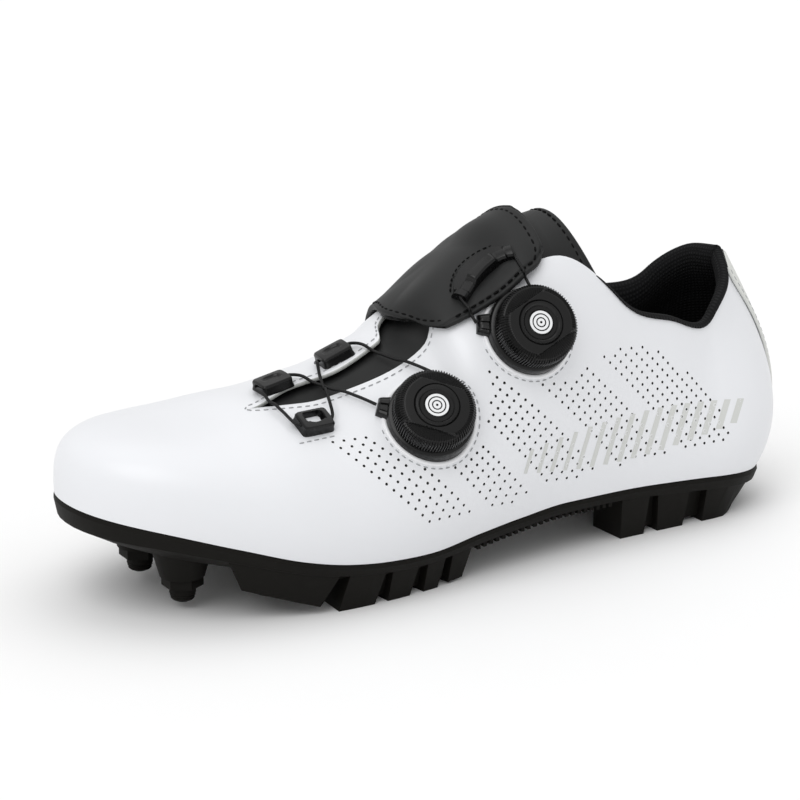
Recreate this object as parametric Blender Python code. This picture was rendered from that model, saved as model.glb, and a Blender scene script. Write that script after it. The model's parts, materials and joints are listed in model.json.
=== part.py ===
"""Left cycling shoe with two lace dials, an instep strap and a lugged outsole.

Frame: metres, +Z up, the ground is z = 0. The toe points along -X, the lateral
side (the one with the dials) faces -Y and the medial side faces +Y.
A place along the shoe is a station: 0 at the heel end of the sole, 1 at its toe.
"""
import math

import bmesh
import bpy
import numpy as np
from mathutils import Vector
from mathutils.bvhtree import BVHTree

# Driving sizes
SOLE_LENGTH = 0.290
BALL_WIDTH = 0.100
INSTEP_HEIGHT = 0.120
HEEL_HEIGHT = 0.099
SEAT_HEIGHT = 0.021
SOLE_CENTRE_X = -0.0045
LAST_AXIS_Y = 0.0043

# Walls and clearances
UPPER_WALL = 0.0022
TONGUE_THICKNESS = 0.0030
STRAP_THICKNESS = 0.0024
INSOLE_THICKNESS = 0.0040
HEEL_STRIP_THICKNESS = 0.0010
CLEARANCE = 0.0003
SOFT_CLEARANCE = 0.0005
DIAL_CLEARANCE = 0.0007
STRAP_CLEARANCE = 0.0009
TONGUE_CLEARANCE = 0.0011

# Rounding of the sole's outline in plan
HEEL_ROUND = 0.036
TOE_ROUND = 0.080
ROUND_POWER = 2.15

# The sole's outline. axis and half_width are shares of the ball width, seat is a
# share of the seat height: the height at which the upper stands on the sole.
FOOT_COLUMNS = ("station", "axis", "half_width", "seat")
FOOT = (
    (0.00, 0.000, 0.330, 0.69),
    (0.04, 0.000, 0.334, 0.76),
    (0.10, 0.000, 0.338, 0.86),
    (0.18, -0.005, 0.340, 0.94),
    (0.27, -0.020, 0.336, 0.995),
    (0.36, -0.042, 0.336, 1.01),
    (0.44, -0.052, 0.352, 0.93),
    (0.50, -0.056, 0.374, 0.85),
    (0.58, -0.053, 0.420, 0.745),
    (0.64, -0.042, 0.454, 0.78),
    (0.70, -0.026, 0.477, 0.87),
    (0.76, -0.007, 0.486, 1.04),
    (0.84, 0.020, 0.488, 1.37),
    (0.92, 0.035, 0.486, 1.68),
    (1.00, 0.040, 0.480, 1.924),
)

# The two walls of the upper. A column of the wall starts on the outline at
# station and ends on the rim at rim_station. reach is a share of the ball width,
# heel_rise and instep_rise are shares of those two heights and add up, slope and
# lean are the wall's degrees at the rim and at the sole, and the two pulls say
# how far each of them carries into the wall.
SIDE_COLUMNS = ("station", "rim_station", "reach", "heel_rise", "instep_rise",
                "slope", "lean", "foot_pull", "rim_pull")
LATERAL_SIDE = (
    (0.00, 0.045, 0.000, 1.00, 0.000, 62, 33, 0.39, 0.36),
    (0.04, 0.058, -0.110, 0.915, 0.000, 75, 28, 0.38, 0.34),
    (0.10, 0.105, -0.215, 0.800, 0.000, 84, 18, 0.36, 0.33),
    (0.18, 0.185, -0.270, 0.400, 0.355, 82, 12, 0.34, 0.34),
    (0.27, 0.270, -0.290, 0.000, 0.785, 74, 10, 0.34, 0.34),
    (0.36, 0.360, -0.255, 0.000, 0.942, 55, 12, 0.36, 0.38),
    (0.44, 0.440, -0.210, 0.000, 0.870, 34, 16, 0.40, 0.40),
    (0.50, 0.520, -0.165, 0.000, 0.790, 26, 18, 0.41, 0.42),
    (0.54, 0.532, -0.175, 0.000, 0.712, 26, 19, 0.42, 0.42),
    (0.58, 0.572, -0.190, 0.000, 0.655, 27, 20, 0.43, 0.42),
    (0.64, 0.635, -0.170, 0.000, 0.603, 26, 20, 0.44, 0.42),
    (0.70, 0.700, -0.140, 0.000, 0.571, 20, 19, 0.46, 0.42),
    (0.76, 0.765, -0.100, 0.000, 0.570, 11, 17, 0.48, 0.46),
    (0.84, 0.825, -0.020, 0.000, 0.550, 3, 13, 0.50, 0.53),
    (0.92, 0.870, 0.020, 0.000, 0.540, 0, 8, 0.54, 0.62),
    (1.00, 0.888, 0.030, 0.000, 0.539, 0, 2, 0.54, 0.68),
)
MEDIAL_SIDE = (
    (0.00, 0.045, 0.000, 1.00, 0.000, 62, 33, 0.39, 0.36),
    (0.04, 0.060, 0.120, 0.985, 0.000, 72, 28, 0.38, 0.34),
    (0.10, 0.110, 0.225, 0.867, 0.000, 82, 18, 0.36, 0.33),
    (0.18, 0.185, 0.265, 0.400, 0.330, 82, 13, 0.34, 0.34),
    (0.27, 0.270, 0.270, 0.000, 0.765, 74, 12, 0.34, 0.34),
    (0.36, 0.360, 0.235, 0.000, 0.930, 52, 10, 0.36, 0.38),
    (0.44, 0.440, 0.165, 0.000, 0.885, 20, 10, 0.40, 0.40),
    (0.50, 0.520, 0.100, 0.000, 0.780, 10, 11, 0.41, 0.42),
    (0.54, 0.562, 0.030, 0.000, 0.735, 2, 12, 0.42, 0.42),
    (0.58, 0.582, -0.070, 0.000, 0.708, -10, 13, 0.43, 0.42),
    (0.64, 0.642, -0.080, 0.000, 0.642, -12, 14, 0.44, 0.42),
    (0.70, 0.703, -0.045, 0.000, 0.602, -9, 16, 0.46, 0.42),
    (0.76, 0.765, -0.100, 0.000, 0.570, -11, 17, 0.48, 0.46),
    (0.84, 0.825, -0.020, 0.000, 0.550, -3, 13, 0.50, 0.53),
    (0.92, 0.870, 0.020, 0.000, 0.540, 0, 8, 0.54, 0.62),
    (1.00, 0.888, 0.030, 0.000, 0.539, 0, 2, 0.54, 0.68),
)
SLIT_TIP = 0.76
COLLAR_FRONT = 0.36

# Facets: columns on each side of the upper and sole, and rows up the wall
SIDE_COUNT = 40
RISE_COUNT = 11
CROSS_COUNT = 14

# How full the line over the throat is between the two rims
ARCH_PULL = 1.38

# Sole plate: depths under the seat, and how far its rings lie inside the outline
PLATE_COLUMNS = ("station", "edge_depth", "full_depth", "bevel")
PLATE = (
    (0.00, 0.0050, 0.0070, 0.0080),
    (0.14, 0.0050, 0.0065, 0.0070),
    (0.30, 0.0040, 0.0056, 0.0050),
    (0.44, 0.0042, 0.0060, 0.0050),
    (0.60, 0.0040, 0.0070, 0.0060),
    (0.80, 0.0048, 0.0078, 0.0080),
    (0.92, 0.0060, 0.0105, 0.0100),
    (1.00, 0.0075, 0.0110, 0.0110),
)
RAND_OUT = 0.0004
RAND_DEPTH = 0.0015
EDGE_IN = 0.0008

# Lugs: stations of the two ends at the plate and at the tip, height of the tip
# above the ground at the rear and the front end. Each stands on both sides.
LUG_COLUMNS = ("rear_root", "rear_tip", "front_tip", "front_root", "rear_height", "front_height")
LUGS = (
    (0.160, 0.164, 0.205, 0.212, 0.0000, 0.0000),
    (0.225, 0.227, 0.264, 0.270, 0.0000, 0.0000),
    (0.512, 0.521, 0.544, 0.544, 0.0014, 0.0008),
    (0.555, 0.561, 0.584, 0.584, 0.0000, 0.0000),
    (0.598, 0.606, 0.640, 0.638, 0.0000, 0.0000),
    (0.648, 0.660, 0.712, 0.700, 0.0000, 0.0000),
    (0.712, 0.738, 0.838, 0.856, 0.0030, 0.0125),
)
LUG_ROOT_IN = 0.0012
LUG_TIP_IN = 0.042 * BALL_WIDTH
LUG_WIDTH = 0.175 * BALL_WIDTH
LUG_ROOT_UP = 0.0010
HEEL_LUG_END = 0.132
HEEL_BEVEL_STATION = 0.090
HEEL_BEVEL_HEIGHT = 0.0080
HEEL_BEVEL_IN = 0.085 * BALL_WIDTH
HEEL_LUG_WIDTH = 0.200 * BALL_WIDTH
CORE_TIP_HEIGHT = 0.0016
HEEL_CORE_STATION = 0.262
FOREFOOT_CORE_STATIONS = (0.530, 0.815)
CORE_ROOT_IN = 0.0048
CORE_TIP_IN = 0.075 * BALL_WIDTH
CORE_WIDTH = 0.130 * BALL_WIDTH

# Arch ribs across the plate
RIB_STATIONS = (0.285, 0.498)
RIB_COUNT = 22
RIB_HEIGHT = 0.0010
RIB_WIDTH = 0.0014
RIB_SIDE_IN = 0.0022

# Pocket for the cleat, with a flat roof
POCKET_STATION = 0.630
POCKET_LENGTH = 0.044
POCKET_WIDTH = 0.034
POCKET_ROOF = 0.0122

# Studs under the toe, with the rubber boss each one screws into
STUD_STATION = 0.873
STUD_SPACING = 0.036
STUD_TIP_HEIGHT = 0.0030
STUD_RADIUS = 0.0050
STUD_FLANGE_RADIUS = 0.0076
STUD_FLANGE_HEIGHT = 0.0034
STUD_LENGTH = 0.0095
BOSS_RADIUS_ROOT = 0.0115
BOSS_RADIUS_TIP = 0.0082

# Insole and tongue
TONGUE_TOE_AROUND = 0.700
TONGUE_COLUMNS = ("station", "half_width")
TONGUE = ((0.36, 0.034), (0.44, 0.036), (0.56, 0.031), (0.68, 0.020), (0.80, 0.012))
TONGUE_ROWS = 16
TONGUE_TOP_ROWS = 4
TONGUE_TOP_BACK = 0.0100
TONGUE_SIDE_BACK = 0.0080
TONGUE_TOP_RISE = 0.0020
TONGUE_SIDE_DROP = 0.0060

# Instep strap: stations of its edges, and how far it reaches from the middle
STRAP_STATIONS = (0.374, 0.530)
STRAP_ROWS = 13
STRAP_CROSS = 18
STRAP_LATERAL_REACH = 0.0275
STRAP_MEDIAL_REACH = 0.0620
STRAP_MEDIAL_TAPER = 0.20
STRAP_END_FRONT = 0.042
STRAP_END_REAR = 0.012
STRAP_END_SLANT = 0.12
STRAP_CORNER_POWER = 5.0

# Heel strip: half width and how far down from the rim it runs
HEEL_STRIP_HALF = 0.0095
HEEL_STRIP_RISE = (0.06, 0.985)

# Lace dials: place on the lateral wall as (around, rise), and their sizes
DIAL_FRONT = (0.550, 0.670)
DIAL_REAR = (0.448, 0.748)
DIAL_SEGMENTS = 32
DIAL_BASE_RADIUS = 0.0168
DIAL_BASE_HEIGHT = 0.0034
KNOB_RADIUS = 0.0152
KNOB_HEIGHT = 0.0088
KNOB_RING_RADIUS = 0.0074
KNOB_BADGE_RADIUS = 0.0043
KNOB_BADGE_DEPTH = 0.0008
KNURL_DEPTH = 0.0004
SPOUT_REACH = 0.0195
SPOUT_WIDTH = 0.0100
SPOUT_HEIGHT = 0.0030
SPOUT_TURN_FRONT = 150.0
SPOUT_TURN_REAR = 160.0
INLET_TURN_FRONT = 62.0
INLET_TURN_REAR = 75.0

# Lace guides: place over the foot as (station, reach) and which way the slot opens
GUIDE_LATERAL = (0.708, -0.0180)
GUIDE_MEDIAL_FRONT = (0.715, 0.0087)
GUIDE_MEDIAL_REAR = (0.630, 0.0125)
GUIDE_LENGTH = 0.0125
GUIDE_WIDTH = 0.0095
GUIDE_FLOOR = 0.0010
GUIDE_SLOT = 0.0020
GUIDE_ROOF = 0.0012
GUIDE_BACK = 0.0040

# Arc guide on the strap
STRAP_GUIDE = ((0.475, -0.0185), (0.458, -0.0150), (0.440, -0.0135), (0.422, -0.0145), (0.408, -0.0175))
STRAP_GUIDE_WIDTH = 0.0080

# Laces
LACE_RADIUS = 0.0006
LACE_SIDES = 6
LACE_LIFT = 0.0023
LACE_RUN_OUT = 0.0016
LACE_CROSSING_LIFT = 0.0043
LACE_SAMPLES = 9

COLOURS = {
    "white": ((0.86, 0.87, 0.89), 0.34, 0.0),
    "black": ((0.016, 0.016, 0.017), 0.62, 0.0),
    "rubber": ((0.020, 0.018, 0.016), 0.72, 0.0),
    "gloss": ((0.012, 0.012, 0.013), 0.28, 0.0),
    "grey": ((0.52, 0.53, 0.53), 0.45, 0.0),
    "steel": ((0.30, 0.30, 0.31), 0.35, 0.9),
}


def column_at(columns, rows, name, at):
    """Monotone cubic through one named column of a table, at the given stations."""
    table = np.array(rows, dtype=float)
    xs = table[:, 0]
    ys = table[:, columns.index(name)]
    step = np.diff(xs)
    slope = np.diff(ys) / step
    tangent = np.zeros(len(xs))
    tangent[0] = slope[0]
    tangent[-1] = slope[-1]
    same = slope[:-1] * slope[1:] > 0
    before = 2 * step[1:] + step[:-1]
    after = step[1:] + 2 * step[:-1]
    safe_left = np.where(same, slope[:-1], 1.0)
    safe_right = np.where(same, slope[1:], 1.0)
    mean = (before + after) / (before / safe_left + after / safe_right)
    tangent[1:-1] = np.where(same, mean, 0.0)
    at = np.clip(at, xs[0], xs[-1])
    i = np.clip(np.searchsorted(xs, at) - 1, 0, len(step) - 1)
    s = (at - xs[i]) / step[i]
    start = ys[i] * (1 + 2 * s) * (1 - s) ** 2 + tangent[i] * step[i] * s * (1 - s) ** 2
    end = ys[i + 1] * s ** 2 * (3 - 2 * s) + tangent[i + 1] * step[i] * s ** 2 * (s - 1)
    return start + end


def unit(vectors):
    return vectors / np.maximum(np.linalg.norm(vectors, axis=-1, keepdims=True), 1e-12)


def station_of(around):
    """Stations are spaced like a cosine, close together at heel and toe."""
    return (1 - np.cos(np.pi * np.asarray(around, dtype=float))) / 2


def around_of(station):
    return np.arccos(1 - 2 * np.asarray(station, dtype=float)) / np.pi


def x_of(station):
    return SOLE_CENTRE_X + SOLE_LENGTH * (0.5 - np.asarray(station))


def station_at(x):
    return 0.5 - (np.asarray(x) - SOLE_CENTRE_X) / SOLE_LENGTH


def seat_of(station):
    return SEAT_HEIGHT * column_at(FOOT_COLUMNS, FOOT, "seat", station)


def axis_of(station):
    return LAST_AXIS_Y + BALL_WIDTH * column_at(FOOT_COLUMNS, FOOT, "axis", station)


def rounding(station):
    """Share of the half width that is left where heel and toe close."""
    heel = np.clip(1 - station * SOLE_LENGTH / HEEL_ROUND, 0, 1)
    toe = np.clip(1 - (1 - station) * SOLE_LENGTH / TOE_ROUND, 0, 1)
    return ((1 - heel ** ROUND_POWER) * (1 - toe ** ROUND_POWER)) ** (1 / ROUND_POWER)


def outline_point(side, around):
    """Point of the sole's outline. side is -1 lateral, +1 medial, around 0 heel, 1 toe."""
    around = np.asarray(around, dtype=float)
    passed = (around < 0) | (around > 1)
    side = np.where(passed, -side, side)
    around = np.where(around < 0, -around, np.where(around > 1, 2 - around, around))
    station = station_of(around)
    half = BALL_WIDTH * column_at(FOOT_COLUMNS, FOOT, "half_width", station)
    y = axis_of(station) + side * half * rounding(station)
    return np.stack([x_of(station), y, seat_of(station)], axis=-1)


def outline(side, around):
    """Points of the outline with their level outward directions."""
    step = 1e-3
    run = outline_point(side, around + step) - outline_point(side, around - step)
    out = np.stack([run[..., 1], -run[..., 0], np.zeros_like(run[..., 0])], axis=-1)
    return outline_point(side, around), unit(side * out)


def rim_of(side, around):
    """Rim points of one wall of the upper."""
    rows = LATERAL_SIDE if side < 0 else MEDIAL_SIDE
    station = station_of(around)
    x = x_of(column_at(SIDE_COLUMNS, rows, "rim_station", station))
    y = LAST_AXIS_Y + BALL_WIDTH * column_at(SIDE_COLUMNS, rows, "reach", station)
    heel = HEEL_HEIGHT * column_at(SIDE_COLUMNS, rows, "heel_rise", station)
    instep = INSTEP_HEIGHT * column_at(SIDE_COLUMNS, rows, "instep_rise", station)
    return np.stack([x, y, heel + instep], axis=-1)


def wall_handles(side, around):
    """The four Bezier points of each column of a wall."""
    around = np.atleast_1d(around).astype(float)
    rows = LATERAL_SIDE if side < 0 else MEDIAL_SIDE
    station = station_of(around)
    foot, out = outline(side, around)
    rim = rim_of(side, around)
    up = np.array([0.0, 0.0, 1.0])
    slope = np.radians(column_at(SIDE_COLUMNS, rows, "slope", station))[:, None]
    lean = np.radians(column_at(SIDE_COLUMNS, rows, "lean", station))[:, None]
    foot_pull = column_at(SIDE_COLUMNS, rows, "foot_pull", station)[:, None]
    rim_pull = column_at(SIDE_COLUMNS, rows, "rim_pull", station)[:, None]
    chord = np.linalg.norm(rim - foot, axis=-1, keepdims=True)
    level = unit((foot - rim) * (1, 1, 0))
    step = 1e-3
    run = rim_of(side, np.clip(around + step, 0, 1)) - rim_of(side, np.clip(around - step, 0, 1))
    forward = np.where(np.abs(run[:, 0]) < 1e-7, 1e9, run[:, 0])
    climb = np.where(station > COLLAR_FRONT, run[:, 2] / forward, 0)
    level[:, 2] = np.clip(climb, -0.8, 0.8) * level[:, 0]
    low = foot + chord * foot_pull * (np.sin(lean) * out + np.cos(lean) * up)
    high = rim + chord * rim_pull * (np.cos(slope) * level - np.sin(slope) * up)
    return foot, low, high, rim


def wall(side, around, rise):
    """Outer surface of the upper: a row for each rise (0 sole, 1 rim), a column for each around."""
    foot, low, high, rim = wall_handles(side, around)
    v = np.atleast_1d(rise).astype(float)[:, None, None]
    return foot * (1 - v) ** 3 + 3 * low * v * (1 - v) ** 2 + 3 * high * v ** 2 * (1 - v) + rim * v ** 3


def arch_line(around, reach):
    """Points along one line over the foot, at lengths reach from its middle (medial is positive)."""
    rise = np.linspace(0.15, 1, 60)
    left = wall(-1, around, rise)[:, 0]
    right = wall(1, around, rise)[:, 0]
    foot, low, high, rim_l = [p[0] for p in wall_handles(-1, around)]
    foot, low, high_m, rim_m = [p[0] for p in wall_handles(1, around)]
    gap = np.linalg.norm(rim_m - rim_l)
    pull = gap * ARCH_PULL
    t = np.linspace(0, 1, 41)[1:-1, None]
    start = unit(rim_l - high) * pull
    end = -unit(rim_m - high_m) * pull
    bridge = (rim_l * (1 + 2 * t) * (1 - t) ** 2 + start * t * (1 - t) ** 2
              + rim_m * t ** 2 * (3 - 2 * t) + end * t ** 2 * (t - 1))
    line = np.concatenate([left, bridge, right[::-1]])
    if gap < 1e-6:
        line = np.concatenate([left, right[::-1][1:]])
    length = np.concatenate([[0], np.cumsum(np.linalg.norm(np.diff(line, axis=0), axis=1))])
    middle = np.interp(len(line) / 2 - 0.5, np.arange(len(line)), length)
    return np.stack([np.interp(reach + middle, length, line[:, k]) for k in range(3)], axis=-1)


def material(name):
    found = bpy.data.materials.get(name)
    if found:
        return found
    colour, roughness, metallic = COLOURS[name]
    made = bpy.data.materials.new(name)
    made.use_nodes = True
    shader = made.node_tree.nodes["Principled BSDF"]
    shader.inputs["Base Color"].default_value = (*colour, 1.0)
    shader.inputs["Roughness"].default_value = roughness
    shader.inputs["Metallic"].default_value = metallic
    made.diffuse_color = (*colour, 1.0)
    return made


def add_object(name, points, faces, finish):
    """Mesh object from points and faces, with its normals turned outward."""
    mesh = bpy.data.meshes.new(name)
    mesh.from_pydata([tuple(map(float, p)) for p in points], [], [tuple(map(int, f)) for f in faces])
    work = bmesh.new()
    work.from_mesh(mesh)
    bmesh.ops.remove_doubles(work, verts=work.verts, dist=0.00002)
    bmesh.ops.recalc_face_normals(work, faces=work.faces)
    work.to_mesh(mesh)
    work.free()
    made = bpy.data.objects.new(name, mesh)
    bpy.context.collection.objects.link(made)
    made.data.materials.append(material(finish))
    return made


def cutter(name, points, faces):
    """Helper solid that only a Boolean uses."""
    made = add_object(name, points, faces, "rubber")
    made.hide_render = True
    made.display_type = "WIRE"
    return made


def combine(target, tool, operation):
    step = target.modifiers.new(tool.name, "BOOLEAN")
    step.operation = operation
    step.solver = "EXACT"
    step.object = tool


def vertex_normals(points, faces):
    """Area-weighted normals, with the faces' own winding."""
    points = np.asarray(points)
    normals = np.zeros_like(points)
    for face in faces:
        ring = points[list(face)]
        area = np.cross(ring, np.roll(ring, -1, axis=0)).sum(axis=0)
        for i in face:
            normals[i] += area
    return unit(normals)


def shell(points, faces, lift, thickness, level_base=()):
    """Closed solid between a sheet moved out by lift and the same sheet moved in by thickness."""
    points = np.asarray(points)
    normals = vertex_normals(points, faces)
    base = list(level_base)
    if base:
        normals[base, 2] = 0
        normals[base] = unit(normals[base])
    outer = points + normals * lift
    inner = points + normals * (lift - thickness)
    count = len(points)
    solid = [tuple(f) for f in faces] + [tuple(i + count for i in reversed(f)) for f in faces]
    used = {}
    for face in faces:
        for a, b in zip(face, tuple(face[1:]) + (face[0],)):
            used[(a, b)] = True
    for a, b in used:
        if (b, a) not in used:
            solid.append((b, a, a + count, b + count))
    return np.concatenate([outer, inner]), solid


def grid_faces(rows, columns):
    return [(r * columns + c, r * columns + c + 1, (r + 1) * columns + c + 1, (r + 1) * columns + c)
            for r in range(rows - 1) for c in range(columns - 1)]


def upper_sheet():
    """Outer face of the upper: both walls joined at heel, toe and along the vamp."""
    around = np.linspace(0, 1, SIDE_COUNT + 1)
    rise = np.linspace(0, 1, RISE_COUNT) ** 0.9
    lateral = wall(-1, around, rise)
    medial = wall(1, around, rise)
    points = []
    index = {}
    for r in range(RISE_COUNT):
        for c in range(SIDE_COUNT + 1):
            index[(-1, r, c)] = len(points)
            points.append(lateral[r, c])
    closed = station_of(around) >= SLIT_TIP
    for r in range(RISE_COUNT):
        for c in range(SIDE_COUNT + 1):
            shared = c in (0, SIDE_COUNT) or (r == RISE_COUNT - 1 and closed[c])
            if shared:
                index[(1, r, c)] = index[(-1, r, c)]
            else:
                index[(1, r, c)] = len(points)
                points.append(medial[r, c])
    faces = []
    for side in (-1, 1):
        for r in range(RISE_COUNT - 1):
            for c in range(SIDE_COUNT):
                ring = [index[(side, r, c)], index[(side, r, c + 1)],
                        index[(side, r + 1, c + 1)], index[(side, r + 1, c)]]
                faces.append(tuple(ring if side > 0 else reversed(ring)))
    base = {index[(side, 0, c)] for side in (-1, 1) for c in range(SIDE_COUNT + 1)}
    return np.array(points), faces, sorted(base)


def build_upper():
    points, faces, base = upper_sheet()
    points[:, 2] += CLEARANCE
    solid = shell(points, flip_to_out(points, faces), 0.0, UPPER_WALL, base)
    return add_object("upper", *solid, "white")


def flip_to_out(points, faces):
    """Faces wound so that their normals point away from the middle of the sheet."""
    normals = vertex_normals(points, faces)
    outward = points - points.mean(axis=0)
    if (normals * outward).sum() < 0:
        return [tuple(reversed(f)) for f in faces]
    return faces


def flip_up(points, faces):
    normals = vertex_normals(points, faces)
    if normals[:, 2].sum() < 0:
        return [tuple(reversed(f)) for f in faces]
    return faces


def ring_loop(around, inset, depth):
    """Closed loop round the sole: the outline moved in by inset and down by depth."""
    lateral, out_l = outline(-1, around)
    medial, out_m = outline(1, around)
    inset = np.broadcast_to(inset, around.shape)[:, None]
    depth = np.broadcast_to(depth, around.shape)
    left = lateral - out_l * inset
    right = medial - out_m * inset
    for row in (left, right):
        row[:, 2] = seat_of(station_at(row[:, 0])) - depth
    return np.concatenate([left, right[-2:0:-1]])


def ladder(start, count):
    """Faces across a loop from side to side, closed at heel and toe."""
    total = 2 * count - 2
    across = [(start + i, start + (total - i) % total) for i in range(count)]
    faces = [(across[0][0], across[1][0], across[1][1])]
    for (a, b), (c, d) in zip(across[1:-2], across[2:-1]):
        faces.append((a, c, d, b))
    faces.append((across[-2][0], across[-1][0], across[-2][1]))
    return faces


def ringed_solid(loops):
    """Closed solid through loops of equal count, from top to bottom."""
    total = len(loops[0])
    count = total // 2 + 1
    faces = []
    for level in range(len(loops) - 1):
        for i in range(total):
            j = (i + 1) % total
            a = level * total
            faces.append((a + i, a + j, a + total + j, a + total + i))
    faces += ladder(0, count)
    faces += [tuple(reversed(f)) for f in ladder((len(loops) - 1) * total, count)]
    return np.concatenate(loops), faces


def plate_value(name, station):
    return column_at(PLATE_COLUMNS, PLATE, name, station)


def lug_solid(places, root_in, tip_in, width, tip_heights):
    """Prism along the outline. places are (root, tip) pairs of signed around, lateral negative."""
    rings = []
    for (root, tip), root_i, tip_i, height in zip(places, root_in, tip_in, tip_heights):
        ring = []
        for at, depth_in, inner in ((root, root_i, False), (tip, tip_i, False),
                                    (tip, tip_i, True), (root, root_i, True)):
            side = -1 if at < 0 else 1
            point, out = outline(side, abs(at))
            inset = depth_in + (width if inner else 0.0)
            place = point - out * inset
            if depth_in == root_i and at == root:
                place[2] = point[2] - plate_value("edge_depth", station_of(abs(at))) + LUG_ROOT_UP
            else:
                place[2] = height
            ring.append(place)
        rings.append(ring)
    count = len(rings)
    points = np.array(rings).reshape(-1, 3)
    faces = [(0, 1, 2, 3), tuple(4 * (count - 1) + k for k in (3, 2, 1, 0))]
    for r in range(count - 1):
        for k in range(4):
            m = (k + 1) % 4
            faces.append((4 * r + k, 4 * (r + 1) + k, 4 * (r + 1) + m, 4 * r + m))
    return points, faces


def merge(solids):
    points = []
    faces = []
    for more, rings in solids:
        start = sum(len(p) for p in points)
        points.append(np.asarray(more))
        faces += [tuple(i + start for i in ring) for ring in rings]
    return np.concatenate(points), faces


def side_lugs():
    solids = []
    for row in LUGS:
        lug = dict(zip(LUG_COLUMNS, row))
        share = np.linspace(0, 1, 4)
        roots = around_of(lug["rear_root"] + share * (lug["front_root"] - lug["rear_root"]))
        tips = around_of(lug["rear_tip"] + share * (lug["front_tip"] - lug["rear_tip"]))
        heights = lug["rear_height"] + share * (lug["front_height"] - lug["rear_height"])
        for side in (-1, 1):
            places = list(zip(side * roots, side * tips))
            solids.append(lug_solid(places, [LUG_ROOT_IN] * 4, [LUG_TIP_IN] * 4, LUG_WIDTH, heights))
    around = np.linspace(-1, 1, 25) * around_of(HEEL_LUG_END)
    bevel = np.clip(1 - station_of(np.abs(around)) / HEEL_BEVEL_STATION, 0, 1)
    solids.append(lug_solid(list(zip(around, around)), [LUG_ROOT_IN] * 25,
                            LUG_TIP_IN + HEEL_BEVEL_IN * bevel, HEEL_LUG_WIDTH,
                            HEEL_BEVEL_HEIGHT * bevel ** 2))
    return merge(solids)


def core_lugs():
    """Set-back walls that show between the lugs."""
    solids = []
    heel = np.linspace(-1, 1, 27) * around_of(HEEL_CORE_STATION)
    bevel = np.clip(1 - station_of(np.abs(heel)) / HEEL_BEVEL_STATION, 0, 1)
    solids.append(lug_solid(list(zip(heel, heel)), [CORE_ROOT_IN] * 27, CORE_TIP_IN + HEEL_BEVEL_IN * bevel,
                            CORE_WIDTH, CORE_TIP_HEIGHT + HEEL_BEVEL_HEIGHT * bevel ** 2))
    rear, front = FOREFOOT_CORE_STATIONS
    stations = np.linspace(rear, front, 12)
    around = around_of(stations)
    tip = CORE_TIP_HEIGHT + np.maximum(seat_of(stations) - seat_of(0.70), 0) * 0.9
    for side in (-1, 1):
        solids.append(lug_solid(list(zip(side * around, side * around)), [CORE_ROOT_IN] * 12,
                                [CORE_TIP_IN] * 12, CORE_WIDTH, tip))
    return merge(solids)


def box_solid(low, high):
    points = [(x, y, z) for x in (low[0], high[0]) for y in (low[1], high[1]) for z in (low[2], high[2])]
    faces = [(0, 1, 3, 2), (4, 6, 7, 5), (0, 4, 5, 1), (2, 3, 7, 6), (0, 2, 6, 4), (1, 5, 7, 3)]
    return points, faces


def arch_ribs():
    solids = []
    for station in np.linspace(*RIB_STATIONS, RIB_COUNT):
        around = around_of(station)
        left = outline_point(-1, around)
        right = outline_point(1, around)
        bottom = left[2] - plate_value("full_depth", station)
        inset = plate_value("bevel", station) + RIB_SIDE_IN - 0.0040
        low = (left[0] - RIB_WIDTH / 2, left[1] + inset, bottom - RIB_HEIGHT)
        high = (left[0] + RIB_WIDTH / 2, right[1] - inset, bottom + RIB_HEIGHT)
        solids.append(box_solid(low, high))
    return merge(solids)


def lathe(profile, segments, centre, axis, phase=0.0):
    """Closed solid turned about an axis. profile holds (radius, height) from bottom to top."""
    axis = unit(np.asarray(axis, dtype=float))
    aside = (0.0, 0.0, 1.0) if abs(axis[2]) < 0.9 else (0.0, 1.0, 0.0)
    across = unit(np.cross(axis, aside))
    other = np.cross(axis, across)
    angle = np.linspace(0, 2 * np.pi, segments, endpoint=False) + phase
    points = []
    for radius, height in profile:
        for k, a in enumerate(angle):
            r = radius[k % len(radius)] if isinstance(radius, tuple) else radius
            points.append(centre + axis * height + r * (np.cos(a) * across + np.sin(a) * other))
    faces = []
    for level in range(len(profile) - 1):
        for k in range(segments):
            m = (k + 1) % segments
            a = level * segments
            faces.append((a + k, a + m, a + segments + m, a + segments + k))
    faces.append(tuple(reversed(range(segments))))
    last = (len(profile) - 1) * segments
    faces.append(tuple(range(last, last + segments)))
    return np.array(points), faces


def stud_places():
    x = float(x_of(STUD_STATION))
    axis = float(axis_of(STUD_STATION))
    return [("toe_stud_lateral", np.array([x, axis - STUD_SPACING / 2, 0.0])),
            ("toe_stud_medial", np.array([x, axis + STUD_SPACING / 2, 0.0]))]


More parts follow.
